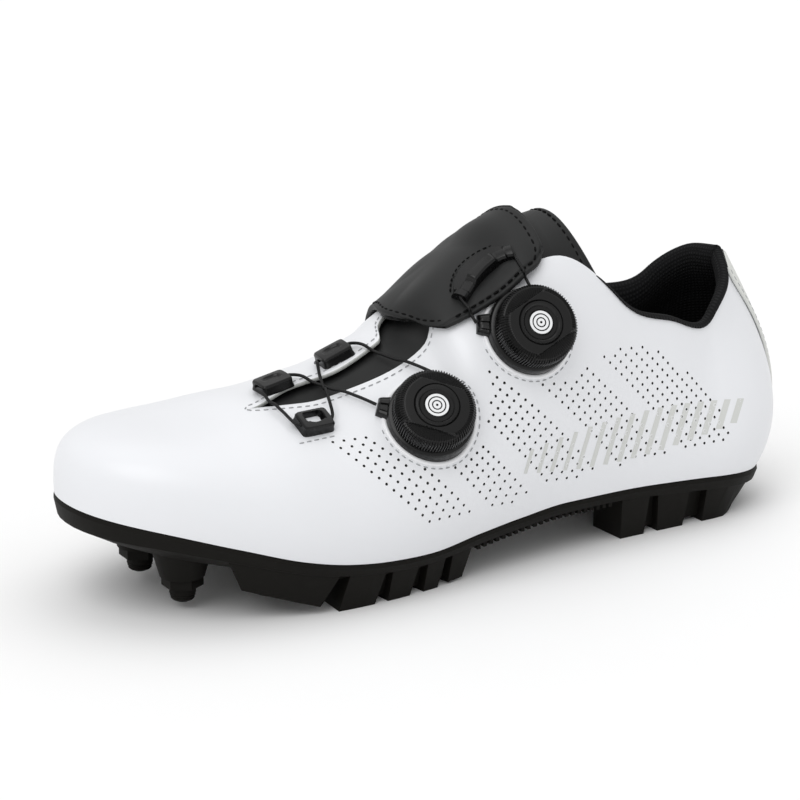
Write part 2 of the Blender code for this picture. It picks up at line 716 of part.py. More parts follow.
def build_outsole():
    around = np.linspace(0, 1, SIDE_COUNT + 1)
    station = station_of(around)
    loops = [
        ring_loop(around, 0.0, 0.0),
        ring_loop(around, -RAND_OUT, RAND_DEPTH),
        ring_loop(around, EDGE_IN, plate_value("edge_depth", station)),
        ring_loop(around, plate_value("bevel", station), plate_value("full_depth", station)),
    ]
    sole = add_object("outsole", *ringed_solid(loops), "rubber")
    combine(sole, cutter("lug_tool", *side_lugs()), "UNION")
    combine(sole, cutter("core_tool", *core_lugs()), "UNION")
    combine(sole, cutter("rib_tool", *arch_ribs()), "UNION")
    root = float(seat_of(STUD_STATION)) - float(plate_value("full_depth", STUD_STATION)) + 0.003
    tip = STUD_TIP_HEIGHT + STUD_LENGTH + CLEARANCE
    bosses = [lathe([(BOSS_RADIUS_TIP, tip), (BOSS_RADIUS_ROOT, root)], 20, place, (0, 0, 1))
              for name, place in stud_places()]
    combine(sole, cutter("boss_tool", *merge(bosses)), "UNION")
    x = float(x_of(POCKET_STATION))
    y = float(axis_of(POCKET_STATION))
    low = (x - POCKET_LENGTH / 2, y - POCKET_WIDTH / 2, 0.001)
    high = (x + POCKET_LENGTH / 2, y + POCKET_WIDTH / 2, POCKET_ROOF)
    combine(sole, cutter("pocket_tool", *box_solid(low, high)), "DIFFERENCE")
    return sole


def build_studs():
    for name, place in stud_places():
        top = STUD_TIP_HEIGHT + STUD_LENGTH
        flange = top - STUD_FLANGE_HEIGHT
        profile = [(STUD_RADIUS * 0.62, STUD_TIP_HEIGHT), (STUD_RADIUS * 0.86, STUD_TIP_HEIGHT + 0.0008),
                   (STUD_RADIUS, flange), (STUD_FLANGE_RADIUS, flange + 0.0002), (STUD_FLANGE_RADIUS, top)]
        add_object(name, *lathe(profile, 18, place, (0, 0, 1)), "rubber")


def build_insole():
    around = np.linspace(0, 1, SIDE_COUNT + 1)
    inset = UPPER_WALL + 3 * CLEARANCE
    loops = [ring_loop(around, inset, -(SOFT_CLEARANCE + INSOLE_THICKNESS)),
             ring_loop(around, inset, -SOFT_CLEARANCE)]
    return add_object("insole", *ringed_solid(loops), "black")


def build_tongue():
    reach = np.linspace(-1, 1, CROSS_COUNT + 1)
    around = np.linspace(TONGUE_TOE_AROUND, around_of(COLLAR_FRONT), TONGUE_ROWS)
    rows = []
    for a in around:
        half = float(column_at(TONGUE_COLUMNS, TONGUE, "half_width", station_of(a)))
        rows.append(arch_line(a, reach * half))
    last = rows[-1]
    for step in range(1, TONGUE_TOP_ROWS + 1):
        share = step / TONGUE_TOP_ROWS
        move = np.zeros_like(last)
        move[:, 0] = share * (TONGUE_TOP_BACK + TONGUE_SIDE_BACK * np.abs(reach) ** 2)
        move[:, 2] = share * (TONGUE_TOP_RISE - (TONGUE_TOP_RISE + TONGUE_SIDE_DROP) * np.abs(reach) ** 2.5)
        rows.append(last + move)
    points = np.concatenate(rows)
    faces = flip_up(points, grid_faces(len(rows), CROSS_COUNT + 1))
    solid = shell(points, faces, -(UPPER_WALL + TONGUE_CLEARANCE), TONGUE_THICKNESS)
    return add_object("tongue", *solid, "black")


def strap_sheet():
    share = np.linspace(0, 1, STRAP_ROWS)
    across = np.linspace(0, 1, STRAP_CROSS + 1)
    rows = []
    for s in share:
        bend = (1 - np.abs(2 * s - 1) ** STRAP_CORNER_POWER) ** (1 / STRAP_CORNER_POWER)
        lateral = -STRAP_LATERAL_REACH * (0.76 + 0.24 * bend) * (1 - STRAP_END_SLANT * s)
        line = []
        for c in across:
            reach = lateral + c * (STRAP_MEDIAL_REACH - lateral)
            to_end = max(-reach / STRAP_LATERAL_REACH, 0) ** 1.6
            to_seam = max(reach / STRAP_MEDIAL_REACH, 0) * STRAP_MEDIAL_TAPER / 2
            rear = STRAP_STATIONS[0] + STRAP_END_REAR * to_end
            front = STRAP_STATIONS[1] - STRAP_END_FRONT * to_end
            width = front - rear
            station = rear + width * (to_seam + s * (1 - 2 * to_seam))
            line.append(arch_line(around_of(station), np.array([reach]))[0])
        rows.append(np.array(line))
    points = np.concatenate(rows)
    return points, flip_up(points, grid_faces(STRAP_ROWS, STRAP_CROSS + 1))


def build_strap():
    points, faces = strap_sheet()
    solid = shell(points, faces, STRAP_CLEARANCE + STRAP_THICKNESS, STRAP_THICKNESS)
    return add_object("instep_strap", *solid, "black")


def wall_frame(side, around, rise):
    """Place on a wall with its outward normal and the direction up the wall."""
    step = 0.01
    here = wall(side, around, rise)[0, 0]
    along = wall(side, around + step, rise)[0, 0] - wall(side, around - step, rise)[0, 0]
    up = unit(wall(side, around, rise + step)[0, 0] - wall(side, around, rise - step)[0, 0])
    normal = unit(np.cross(along, up))
    if normal[1] * side < 0:
        normal = -normal
    return here, normal, up


def arch_frame(station, reach):
    """Place over the foot with its outward normal, the way to the toe and the way to the medial side."""
    step = 0.012
    reach = np.array([reach - step / 4, reach, reach + step / 4])
    line = arch_line(around_of(station), reach)
    front = arch_line(around_of(station + step), reach)[1]
    rear = arch_line(around_of(station - step), reach)[1]
    forward = unit(front - rear)
    medial = unit(line[2] - line[0])
    normal = unit(np.cross(medial, forward))
    if normal[2] < 0:
        normal = -normal
    across = np.cross(forward, normal)
    return line[1], normal, forward, unit(across * np.sign(across @ medial))


def ray_tree(*objects):
    solids = [([v.co for v in item.data.vertices], [tuple(f.vertices) for f in item.data.polygons])
              for item in objects]
    points, faces = merge(solids)
    return BVHTree.FromPolygons([tuple(p) for p in points], faces)


def surface_height(tree, place, normal):
    """How far along the normal the outermost surface lies from a place, or a low value off it."""
    start = place + normal * 0.02
    hit = tree.ray_cast(Vector(start), Vector(-normal), 0.05)
    return 0.02 - hit[3] if hit[0] is not None else -0.03


def dial_frame(where):
    here, normal, up = wall_frame(-1, *where)
    rear = unit(np.cross(normal, up))
    if rear[0] < 0:
        rear = -rear
    return here, normal, up, rear


def around_dial(frame, turn):
    """Direction in the dial's plane. turn is in degrees from the heel direction, up is 90."""
    here, normal, up, rear = frame
    return np.cos(np.radians(turn)) * rear + np.sin(np.radians(turn)) * up


def build_dial(name, where, spout_turn, tree):
    """Base that follows the upper, its lace spout, and the knob over it. Returns the dial's frame."""
    frame = dial_frame(where)
    here, normal, up, rear = frame
    angle = np.linspace(0, 2 * np.pi, DIAL_SEGMENTS, endpoint=False)
    circle = np.cos(angle)[:, None] * rear + np.sin(angle)[:, None] * up
    rings = []
    for share in (0.34, 0.67, 1.0):
        ring = []
        for spoke in circle:
            place = here + spoke * DIAL_BASE_RADIUS * share
            height = surface_height(tree, place, normal) + DIAL_CLEARANCE
            ring.append(place + normal * height)
        rings.append(ring)
    crown = max(surface_height(tree, here + spoke * DIAL_BASE_RADIUS * 0.5, normal) for spoke in circle)
    top = crown + DIAL_BASE_HEIGHT
    rings.append([here + spoke * DIAL_BASE_RADIUS + normal * (top - 0.0010) for spoke in circle])
    rings.append([here + spoke * (DIAL_BASE_RADIUS - 0.0008) + normal * top for spoke in circle])
    count = DIAL_SEGMENTS
    points = [p for ring in rings for p in ring]
    centre = len(points)
    points.append(here + normal * (surface_height(tree, here, normal) + DIAL_CLEARANCE))
    faces = [(centre, (k + 1) % count, k) for k in range(count)]
    for level in range(len(rings) - 1):
        for k in range(count):
            m = (k + 1) % count
            a = level * count
            faces.append((a + k, a + m, a + count + m, a + count + k))
    faces.append(tuple(range((len(rings) - 1) * count, len(rings) * count)))
    base = add_object(name + "_base", points, faces, "gloss")
    out = around_dial(frame, spout_turn)
    side = np.cross(normal, out)
    corners = []
    for reach, width in ((DIAL_BASE_RADIUS * 0.80, SPOUT_WIDTH), (SPOUT_REACH, SPOUT_WIDTH * 0.72)):
        for level in (0, 1):
            for half in (-0.5, 0.5):
                place = here + out * reach + side * width * half
                floor = max(surface_height(tree, place, normal),
                            surface_height(tree, place - out * 0.003, normal))
                height = floor + DIAL_CLEARANCE + (SPOUT_HEIGHT if level else 0.0)
                corners.append(place + normal * height)
    faces = [(0, 1, 3, 2), (4, 6, 7, 5), (0, 4, 5, 1), (2, 3, 7, 6), (0, 2, 6, 4), (1, 5, 7, 3)]
    combine(base, cutter(name + "_spout_tool", corners, faces), "UNION")
    start = top + CLEARANCE
    rough = (KNOB_RADIUS, KNOB_RADIUS - KNURL_DEPTH)
    profile = [(KNOB_RADIUS - 0.0012, 0.0), (rough, 0.0010), (rough, KNOB_HEIGHT - 0.0022),
               (KNOB_RADIUS - 0.0014, KNOB_HEIGHT - 0.0004),
               (KNOB_RING_RADIUS + 0.0012, KNOB_HEIGHT - 0.0004),
               (KNOB_RING_RADIUS, KNOB_HEIGHT + 0.0004), (KNOB_BADGE_RADIUS, KNOB_HEIGHT),
               (KNOB_BADGE_RADIUS - 0.0002, KNOB_HEIGHT - KNOB_BADGE_DEPTH)]
    add_object(name + "_knob", *lathe(profile, DIAL_SEGMENTS, here + normal * start, normal), "gloss")
    return frame, top


def channel(places, opening, width, lift):
    """Lace guide with a C section swept along places (point, normal, medial direction)."""
    half = width / 2
    slot = GUIDE_FLOOR + GUIDE_SLOT
    top = slot + GUIDE_ROOF
    section = [(-half, 0.0), (half, 0.0), (half, GUIDE_FLOOR), (GUIDE_BACK - half, GUIDE_FLOOR),
               (GUIDE_BACK - half, slot), (half, slot), (half, top), (-half, top)]
    points = []
    for place, normal, across in places:
        for offset, height in section:
            points.append(place + across * offset * opening + normal * (height + lift))
    count = len(section)
    last = (len(places) - 1) * count
    faces = [(0, 1, 2, 3), (0, 3, 4, 7), (4, 5, 6, 7)]
    faces += [tuple(last + k for k in reversed(f)) for f in faces]
    for r in range(len(places) - 1):
        for k in range(count):
            m = (k + 1) % count
            faces.append((r * count + k, r * count + m, (r + 1) * count + m, (r + 1) * count + k))
    return points, faces


def build_guide(name, where, opening, tree):
    """Straight lace guide. Returns the lace's places at its rear and front ends, with the normal."""
    here, normal, forward, medial = arch_frame(*where)
    lift = CLEARANCE + max(surface_height(tree, here + forward * f + medial * m, normal)
                           for f in np.linspace(-0.5, 0.5, 5) * GUIDE_LENGTH
                           for m in np.linspace(-0.5, 0.5, 5) * GUIDE_WIDTH)
    ends = [here - forward * GUIDE_LENGTH / 2, here + forward * GUIDE_LENGTH / 2]
    add_object(name, *channel([(end, normal, medial) for end in ends], opening, GUIDE_WIDTH, lift), "gloss")
    height = lift + GUIDE_FLOOR + GUIDE_SLOT / 2
    inward = medial * opening * (GUIDE_BACK - GUIDE_WIDTH / 2 + 0.0014)
    ends = [here + forward * way * (GUIDE_LENGTH / 2 + LACE_RUN_OUT) for way in (-1, 1)]
    return [(end + inward + normal * height, normal) for end in ends]


def build_strap_guide(tree):
    frames = [arch_frame(*where) for where in STRAP_GUIDE]
    places = []
    route = []
    for index, (here, normal, forward, medial) in enumerate(frames):
        before = frames[max(index - 1, 0)][0]
        after = frames[min(index + 1, len(frames) - 1)][0]
        run = unit(after - before)
        across = unit(np.cross(normal, run))
        if across @ medial < 0:
            across = -across
        lift = CLEARANCE + 0.0004 + max(surface_height(tree, here + across * m, normal)
                                        for m in np.linspace(-0.5, 0.5, 5) * STRAP_GUIDE_WIDTH)
        seat = here + normal * lift
        places.append((seat, normal, across))
        inward = -across * (GUIDE_BACK - STRAP_GUIDE_WIDTH / 2 + 0.0014)
        route.append((seat + inward + normal * (GUIDE_FLOOR + GUIDE_SLOT / 2), normal))
    add_object("strap_guide", *channel(places, -1, STRAP_GUIDE_WIDTH, 0.0), "gloss")
    return route


def taut(tree, start, end, lift):
    """Points of a lace pulled from start to end, kept off the surface by lift in between."""
    normal = unit(start[1] + end[1])
    points = []
    for share in np.linspace(0, 1, LACE_SAMPLES)[1:-1]:
        place = start[0] * (1 - share) + end[0] * share
        need = surface_height(tree, place, normal) + lift
        points.append(place + normal * max(need, 0.0))
    return points


def tube(route, radius, sides):
    """Round tube along a route, capped at both ends."""
    route = np.array(route)
    run = unit(np.gradient(route, axis=0))
    across = unit(np.cross(run[0], (0.3, 0.2, 0.9)))
    points = []
    for place, way in zip(route, run):
        across = unit(across - way * (across @ way))
        other = np.cross(way, across)
        for k in range(sides):
            a = 2 * math.pi * k / sides
            points.append(place + radius * (math.cos(a) * across + math.sin(a) * other))
    faces = [tuple(reversed(range(sides)))]
    for r in range(len(route) - 1):
        for k in range(sides):
            m = (k + 1) % sides
            faces.append((r * sides + k, r * sides + m, (r + 1) * sides + m, (r + 1) * sides + k))
    last = (len(route) - 1) * sides
    faces.append(tuple(range(last, last + sides)))
    return points, faces


def dial_port(tree, dial, turn, reach):
    """Where a lace meets a dial, just off its base."""
    frame, top = dial
    here, normal, up, rear = frame
    place = here + around_dial(frame, turn) * (reach + CLEARANCE * 2)
    return place + normal * (surface_height(tree, place, normal) + LACE_LIFT), normal


def build_lace(name, tree, stops, lifts):
    route = [stops[0][0]]
    for start, end, lift in zip(stops, stops[1:], lifts):
        if lift:
            route += taut(tree, start, end, lift)
        route.append(end[0])
    add_object(name, *tube(route, LACE_RADIUS, LACE_SIDES), "black")


def build_heel_strip():
    """Pale strip that follows the back of the heel."""
    rise = np.linspace(*HEEL_STRIP_RISE, RISE_COUNT)
    around = np.linspace(-1, 1, 9)
    points = []
    for r in rise:
        for s in around:
            side = -1 if s < 0 else 1
            reach = abs(s) * HEEL_STRIP_HALF
            steps = np.linspace(0, 0.2, 21)
            line = wall(side, steps, r)[0]
            length = np.concatenate([[0], np.cumsum(np.linalg.norm(np.diff(line, axis=0), axis=1))])
            points.append([np.interp(reach, length, line[:, k]) for k in range(3)])
    points = np.array(points)
    points[:, 2] += CLEARANCE
    faces = grid_faces(len(rise), len(around))
    if vertex_normals(points, faces)[:, 0].sum() < 0:
        faces = [tuple(reversed(f)) for f in faces]
    solid = shell(points, faces, SOFT_CLEARANCE + HEEL_STRIP_THICKNESS, HEEL_STRIP_THICKNESS)
    return add_object("heel_strip", *solid, "grey")


def build_closure(upper, tongue, strap):
    """Dials, guides and laces, seated on the soft parts that carry them."""
    on_upper = ray_tree(upper)
    on_strap = ray_tree(strap)
    over_vamp = ray_tree(upper, tongue)
    over_all = ray_tree(upper, tongue, strap)
    front = build_dial("dial_front", DIAL_FRONT, SPOUT_TURN_FRONT, on_upper)
    rear = build_dial("dial_rear", DIAL_REAR, SPOUT_TURN_REAR, on_upper)
    lateral = build_guide("guide_lateral", GUIDE_LATERAL, 1, on_upper)
    medial_front = build_guide("guide_medial_front", GUIDE_MEDIAL_FRONT, -1, on_upper)
    medial_rear = build_guide("guide_medial_rear", GUIDE_MEDIAL_REAR, -1, on_upper)
    arc = build_strap_guide(on_strap)
    spout = dial_port(on_upper, front, SPOUT_TURN_FRONT, SPOUT_REACH)
    inlet = dial_port(on_upper, front, INLET_TURN_FRONT, DIAL_BASE_RADIUS)
    build_lace("lace_front", over_vamp,
               [spout, *medial_front, *reversed(lateral), *reversed(medial_rear), inlet],
               [LACE_LIFT, 0, LACE_LIFT, 0, LACE_CROSSING_LIFT, 0, LACE_LIFT])
    spout = dial_port(over_all, rear, SPOUT_TURN_REAR, SPOUT_REACH)
    inlet = dial_port(over_all, rear, INLET_TURN_REAR, DIAL_BASE_RADIUS)
    build_lace("lace_rear", over_all, [spout, *arc, inlet], [LACE_LIFT, 0, 0, 0, 0, LACE_LIFT])


def clear_scene():
    for item in list(bpy.data.objects):
        bpy.data.objects.remove(item, do_unlink=True)


def main():
    clear_scene()
    upper = build_upper()
    build_outsole()
    build_studs()
    build_insole()
    tongue = build_tongue()
    strap = build_strap()
    build_heel_strip()
    build_closure(upper, tongue, strap)


main()
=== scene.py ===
"""Looks of a left cycling shoe with two lace dials, an instep strap and a lugged sole.

Frame: metres, +Z up, the ground is z = 0. The toe points along -X, the lateral side
faces -Y and the medial side +Y. A station is 0 at the heel end of the sole and 1 at its
toe. A turn is the same run spaced like a cosine, negative along the lateral side and
positive along the medial side, so -1 and 1 are both the toe and 0 is the heel. A rise
is 0 on the sole and 1 on the rim of the upper.
"""

import json
import logging
from dataclasses import dataclass
from enum import Enum
from typing import Callable, Optional, Sequence

import bmesh
import bpy
import numpy as np
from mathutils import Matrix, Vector
from mathutils.bvhtree import BVHTree

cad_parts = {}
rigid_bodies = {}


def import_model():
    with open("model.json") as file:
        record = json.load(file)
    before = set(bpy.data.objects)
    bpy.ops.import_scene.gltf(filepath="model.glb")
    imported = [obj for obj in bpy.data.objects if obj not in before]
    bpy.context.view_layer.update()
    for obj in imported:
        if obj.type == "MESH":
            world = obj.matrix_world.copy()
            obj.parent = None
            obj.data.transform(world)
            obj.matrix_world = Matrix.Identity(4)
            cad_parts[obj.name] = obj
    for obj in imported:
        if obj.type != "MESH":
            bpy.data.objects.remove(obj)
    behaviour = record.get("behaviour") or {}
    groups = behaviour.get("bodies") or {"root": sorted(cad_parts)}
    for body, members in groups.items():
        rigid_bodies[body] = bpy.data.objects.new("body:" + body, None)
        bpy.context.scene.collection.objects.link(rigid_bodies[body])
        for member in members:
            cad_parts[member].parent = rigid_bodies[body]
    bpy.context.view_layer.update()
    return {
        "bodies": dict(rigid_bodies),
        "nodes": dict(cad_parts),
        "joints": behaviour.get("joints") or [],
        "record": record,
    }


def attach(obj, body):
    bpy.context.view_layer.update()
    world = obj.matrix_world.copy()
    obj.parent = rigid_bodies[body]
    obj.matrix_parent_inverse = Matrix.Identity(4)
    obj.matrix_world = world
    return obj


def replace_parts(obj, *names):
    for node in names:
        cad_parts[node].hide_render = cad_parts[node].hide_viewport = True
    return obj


LOG = logging.getLogger("cycling_shoe")
Array = np.ndarray
UP = np.array([0.0, 0.0, 1.0])
AFT = np.array([1.0, 0.0, 0.0])


class Pattern(Enum):
    """How the fine relief of a finish is made."""

    GRAIN = "grain"
    WEAVE = "weave"
    FIBRES = "fibres"
    TWIST = "twist"


def unit(vectors: Array) -> Array:
    """Vectors brought to length one."""
    return vectors / np.maximum(np.linalg.norm(vectors, axis=-1, keepdims=True), 1e-12)


def ramp(value: Array, low: float, high: float) -> Array:
    """Smooth step from 0 at low to 1 at high, on the cubic 3t2 - 2t3."""
    t = np.clip((np.asarray(value) - low) / (high - low), 0.0, 1.0)
    return t * t * (3.0 - 2.0 * t)


def eased(count: int) -> Array:
    """Shares from 0 to 1 that lie close together at both ends, as half of a cosine."""
    return 0.5 - 0.5 * np.cos(np.pi * np.linspace(0.0, 1.0, count))


def circle(count: int) -> Array:
    """Angles at equal steps round a full turn."""
    return np.arange(count) * 2 * np.pi / count


def around(angle: Array, one: Array, two: Array) -> Array:
    """Ways that turn from one, at angle 0, to two, at a quarter turn, (..., angles, 3)."""
    return np.cos(angle)[:, None] * one[..., None, :] + np.sin(angle)[:, None] * two[..., None, :]


def square_to(way: Array, vectors: Array) -> Array:
    """Directions made square to a way, and of length one."""
    return unit(vectors - way * (vectors * way).sum(axis=-1, keepdims=True))


def facing(way: Array, guide: Array) -> Array:
    """A direction, turned round where it goes against a guide."""
    return way if way @ guide > 0 else -way


def hermite(start: Array, end: Array, leave: Array, arrive: Array, t: Array) -> Array:
    """Cubic from start to end at the shares t, with its speeds at both ends."""
    return (start * (1 + 2 * t) * (1 - t) ** 2 + leave * t * (1 - t) ** 2
            + end * t ** 2 * (3 - 2 * t) + arrive * t ** 2 * (t - 1))


def run_length(points: Array, axis: int = 0) -> Array:
    """Length along a run of points, from 0 at its first."""
    steps = np.linalg.norm(np.diff(points, axis=axis), axis=-1)
    return np.insert(np.cumsum(steps, axis=axis), 0, 0.0, axis=axis)


def read_off(at: Array, run: Array, values: Array) -> Array:
    """Columns of values, known along a run, read off at other places of it."""
    return np.stack([np.interp(at, run, column) for column in values.T], axis=-1)


def sample(grid: Array, row: Array, column: Array) -> Array:
    """Values of a grid between its four nearest places, by their shares.

    Args:
        grid: Grid, (rows, columns, k).
        row: Row numbers, with fractions.
        column: Column numbers, with fractions.

    Returns:
        Values, (..., k).
    """
    i = np.clip(np.asarray(row).astype(int), 0, grid.shape[0] - 2)
    j = np.clip(np.asarray(column).astype(int), 0, grid.shape[1] - 2)
    s, t = (row - i)[..., None], (column - j)[..., None]
    low = grid[i, j] * (1 - t) + grid[i, j + 1] * t
    return low * (1 - s) + (grid[i + 1, j] * (1 - t) + grid[i + 1, j + 1] * t) * s


def linked(name: str, data: object, place: Optional[Sequence] = None,
           ahead: Optional[Sequence] = None) -> bpy.types.Object:
    """New object in the scene. A camera or a lamp stands at a place and looks ahead."""
    made = bpy.data.objects.new(name, data)
    if place is not None:
        made.location = place
        made.rotation_euler = Vector(ahead).to_track_quat("-Z", "Y").to_euler()
    bpy.context.scene.collection.objects.link(made)
    return made


def feed(tree: bpy.types.NodeTree, made: bpy.types.Node, inputs: dict) -> None:
    """Links sockets to a node's inputs, and sets other values as constants."""
    for key, value in inputs.items():
        if isinstance(value, bpy.types.NodeSocket):
            tree.links.new(value, made.inputs[key])
        else:
            made.inputs[key].default_value = value


def node(tree: bpy.types.NodeTree, kind: str, inputs: dict, output: object = 0,
         **options: str) -> bpy.types.NodeSocket:
    """New shader node.

    Args:
        tree: The material's node tree.
        kind: Type of the node, without its prefix.
        inputs: Sockets or constants for its inputs.
        output: The output that is wanted.
        options: Settings of the node, such as its operation.

    Returns:
        The output's socket.
    """
    made = tree.nodes.new("ShaderNode" + kind)
    for key, value in options.items():
        setattr(made, key, value)
    feed(tree, made, inputs)
    return made.outputs[output]


@dataclass(frozen=True)
class Finish:
    """A surface finish: its colour, gloss and fine relief."""

    name: str
    colour: tuple
    roughness: float
    slot: str
    pattern: Pattern = Pattern.GRAIN
    pitch: float = 0.0009
    depth: float = 0.00003
    mottle: float = 0.06
    second: Optional[tuple] = None
    sheen: float = 0.0
    coat: float = 0.0
    specular: float = 0.5
    patch_scale: float = 26.0
    gloss_spread: float = 0.05

    def material(self) -> bpy.types.Material:
        """Node material of the finish, made once."""
        found = bpy.data.materials.get(self.name)
        if found:
            return found
        made = bpy.data.materials.new(self.name)
        made.use_nodes = True
        made.diffuse_color = (*self.colour, 1.0)
        tree = made.node_tree
        relief = self._relief(tree)
        patches = self._noise(tree, self.patch_scale, 3.0)
        dark = (*(share * (1.0 - self.mottle) for share in self.colour), 1.0)
        colour = node(tree, "Mix", {"Factor": patches, "A": (*self.colour, 1.0), "B": dark}, "Result",
                      data_type="RGBA")
        if self.second:
            colour = node(tree, "Mix", {"Factor": relief, "A": colour, "B": (*self.second, 1.0)}, "Result",
                          data_type="RGBA")
        gloss = node(tree, "MapRange", {
            "Value": patches, "To Min": max(self.roughness - self.gloss_spread, 0.05),
            "To Max": min(self.roughness + self.gloss_spread, 1.0)}, "Result")
        bump = node(tree, "Bump", {"Strength": 1.0, "Distance": self.depth, "Height": relief}, "Normal")
        feed(tree, tree.nodes["Principled BSDF"], {
            "Base Color": colour, "Roughness": gloss, "Normal": bump, "Specular IOR Level": self.specular,
            "Sheen Weight": self.sheen, "Sheen Roughness": 0.45, "Coat Weight": self.coat,
            "Coat Roughness": 0.18})
        return made

    @staticmethod
    def _noise(tree: bpy.types.NodeTree, scale: float, detail: float,
               stretch: float = 1.0) -> bpy.types.NodeSocket:
        """Noise read at Object coordinates, stretched along Z where stretch isn't 1."""
        place = node(tree, "TexCoord", {}, "Object")
        if stretch != 1.0:
            place = node(tree, "Mapping", {"Vector": place, "Scale": (1.0, 1.0, 1.0 / stretch)}, "Vector")
        return node(tree, "TexNoise", {"Vector": place, "Scale": scale, "Detail": detail}, "Fac")

    def _wave(self, tree: bpy.types.NodeTree, source: bpy.types.NodeSocket) -> bpy.types.NodeSocket:
        """Sine of the source with one wave for each pitch, brought to the range 0 to 1."""
        scaled = node(tree, "Math", {0: source, 1: 2.0 * np.pi / self.pitch}, operation="MULTIPLY")
        wave = node(tree, "Math", {0: scaled}, operation="SINE")
        return node(tree, "Math", {0: wave, 1: 0.5, 2: 0.5}, operation="MULTIPLY_ADD")

    def _relief(self, tree: bpy.types.NodeTree) -> bpy.types.NodeSocket:
        """Height of the fine relief, from 0 to 1: noise, or waves along the piece's own lengths."""
        if self.pattern is Pattern.GRAIN:
            return self._noise(tree, 1.0 / self.pitch, 4.0)
        if self.pattern is Pattern.FIBRES:
            return self._noise(tree, 1.0 / self.pitch, 5.0, 5.0)
        flat = node(tree, "UVMap", {}, "UV", uv_map="length")
        u, v = (node(tree, "SeparateXYZ", {"Vector": flat}, axis) for axis in "XY")
        if self.pattern is Pattern.TWIST:
            return self._wave(tree, node(tree, "Math", {0: u, 1: v}, operation="ADD"))
        return node(tree, "Math", {0: self._wave(tree, u), 1: self._wave(tree, v)}, operation="MULTIPLY")


WHITE_LEATHER = Finish("white_microfibre", (0.785, 0.795, 0.82), 0.40, "white", pitch=0.0007, depth=0.000012,
                       mottle=0.02, coat=0.05)
WELT_LEATHER = Finish("white_welt", (0.82, 0.825, 0.84), 0.42, "white", pitch=0.0006, depth=0.00002,
                      mottle=0.02)
CUT_EDGE = Finish("cut_edge", (0.40, 0.42, 0.40), 0.85, "white", Pattern.FIBRES, pitch=0.0007, depth=0.0002,
                  mottle=0.25, second=(0.62, 0.63, 0.61))
CHARCOAL = Finish("charcoal_microfibre", (0.0125, 0.0130, 0.0130), 0.52, "black", pitch=0.00045,
                  depth=0.00003, mottle=0.12, specular=0.28)
LINING_MESH = Finish("lining_mesh", (0.004, 0.004, 0.0045), 0.85, "black", Pattern.WEAVE, pitch=0.0015,
                     depth=0.0003, mottle=0.1, second=(0.013, 0.0135, 0.014), specular=0.2)
FOOTBED_CLOTH = Finish("footbed_cloth", (0.012, 0.012, 0.013), 0.9, "black", Pattern.WEAVE, pitch=0.0011,
                       depth=0.00012, mottle=0.15, second=(0.032, 0.032, 0.034), sheen=0.2)
RUBBER = Finish("sole_rubber", (0.0056, 0.0050, 0.0038), 0.62, "rubber", pitch=0.0006, depth=0.00004,
                mottle=0.2, specular=0.13)
GLOSS_BLACK = Finish("dial_black", (0.0030, 0.0030, 0.0030), 0.26, "gloss", pitch=0.0004, depth=0.000006,
                     mottle=0.15, specular=0.33)
SATIN_BLACK = Finish("guide_black", (0.0032, 0.0032, 0.0034), 0.27, "gloss", pitch=0.0005, depth=0.00001,
                     mottle=0.15, specular=0.32)
PALE_PRINT = Finish("pale_print", (0.80, 0.81, 0.82), 0.35, "gloss", pitch=0.0004, depth=0.00001, mottle=0.05)
GREY_PRINT = Finish("grey_print", (0.62, 0.63, 0.61), 0.38, "grey", pitch=0.0005, depth=0.00001, mottle=0.05,
                    coat=0.1)
HEEL_GREY = Finish("heel_strip_grey", (0.70, 0.71, 0.68), 0.50, "grey", pitch=0.0009, depth=0.00006,
                   mottle=0.08)
GREY_THREAD = Finish("grey_thread", (0.42, 0.43, 0.44), 0.75, "grey", Pattern.FIBRES, pitch=0.0003,
                     depth=0.00005, mottle=0.3)
BLACK_THREAD = Finish("black_thread", (0.0012, 0.0012, 0.0012), 0.6, "black", Pattern.FIBRES, pitch=0.0003,
                      depth=0.00005, mottle=0.3, specular=0.1)
HOLE_BLACK = Finish("pinhole_black", (0.004, 0.004, 0.004), 0.9, "black", pitch=0.0003, depth=0.00002)
WIRE = Finish("lace_wire", (0.004, 0.004, 0.0042), 0.36, "black", Pattern.TWIST, pitch=0.0008, depth=0.00006,
              mottle=0.1, specular=0.25)
FLOOR = Finish("pale_floor", (0.90, 0.90, 0.90), 0.85, "white", pitch=0.02, depth=0.0, mottle=0.01)


@dataclass(frozen=True)
class View:
    """The camera of the photograph, with its frame of 800 by 800."""

    azimuth: float = -29.5
    elevation: float = 17.3
    distance: float = 1.2
    target: tuple = (-0.0009, 0.0289, 0.050)
    focal: float = 3156.0
    frame: float = 800.0
    sensor: float = 36.0

    def axes(self) -> tuple:
        """Place of the camera with its directions ahead, right and up."""
        a, e = np.radians((self.azimuth, self.elevation))
        back = np.array([np.sin(a) * np.cos(e), -np.cos(a) * np.cos(e), np.sin(e)])
        right = unit(np.cross(-back, UP))
        return np.array(self.target) + self.distance * back, -back, right, np.cross(right, -back)

    def flat(self, points: Array) -> Array:
        """Where points show in the frame: the perspective shares of right and up, in pixels.

        Args:
            points: Points in space, (..., 3).

        Returns:
            Columns and rows of the frame, (..., 2).
        """
        place, ahead, right, up = self.axes()
        away = points - place
        depth = away @ ahead
        flat = np.stack([away @ right, -(away @ up)], axis=-1) / depth[..., None]
        return self.frame / 2 + self.focal * flat

    def build(self) -> None:
        """Camera that stands at this view."""
        place, ahead, _, _ = self.axes()
        data = bpy.data.cameras.new("camera")
        data.sensor_width = self.sensor
        data.lens = self.focal * self.sensor / self.frame
        data.clip_start, data.clip_end = 0.05, 20.0
        bpy.context.scene.camera = linked("camera", data, place, ahead)


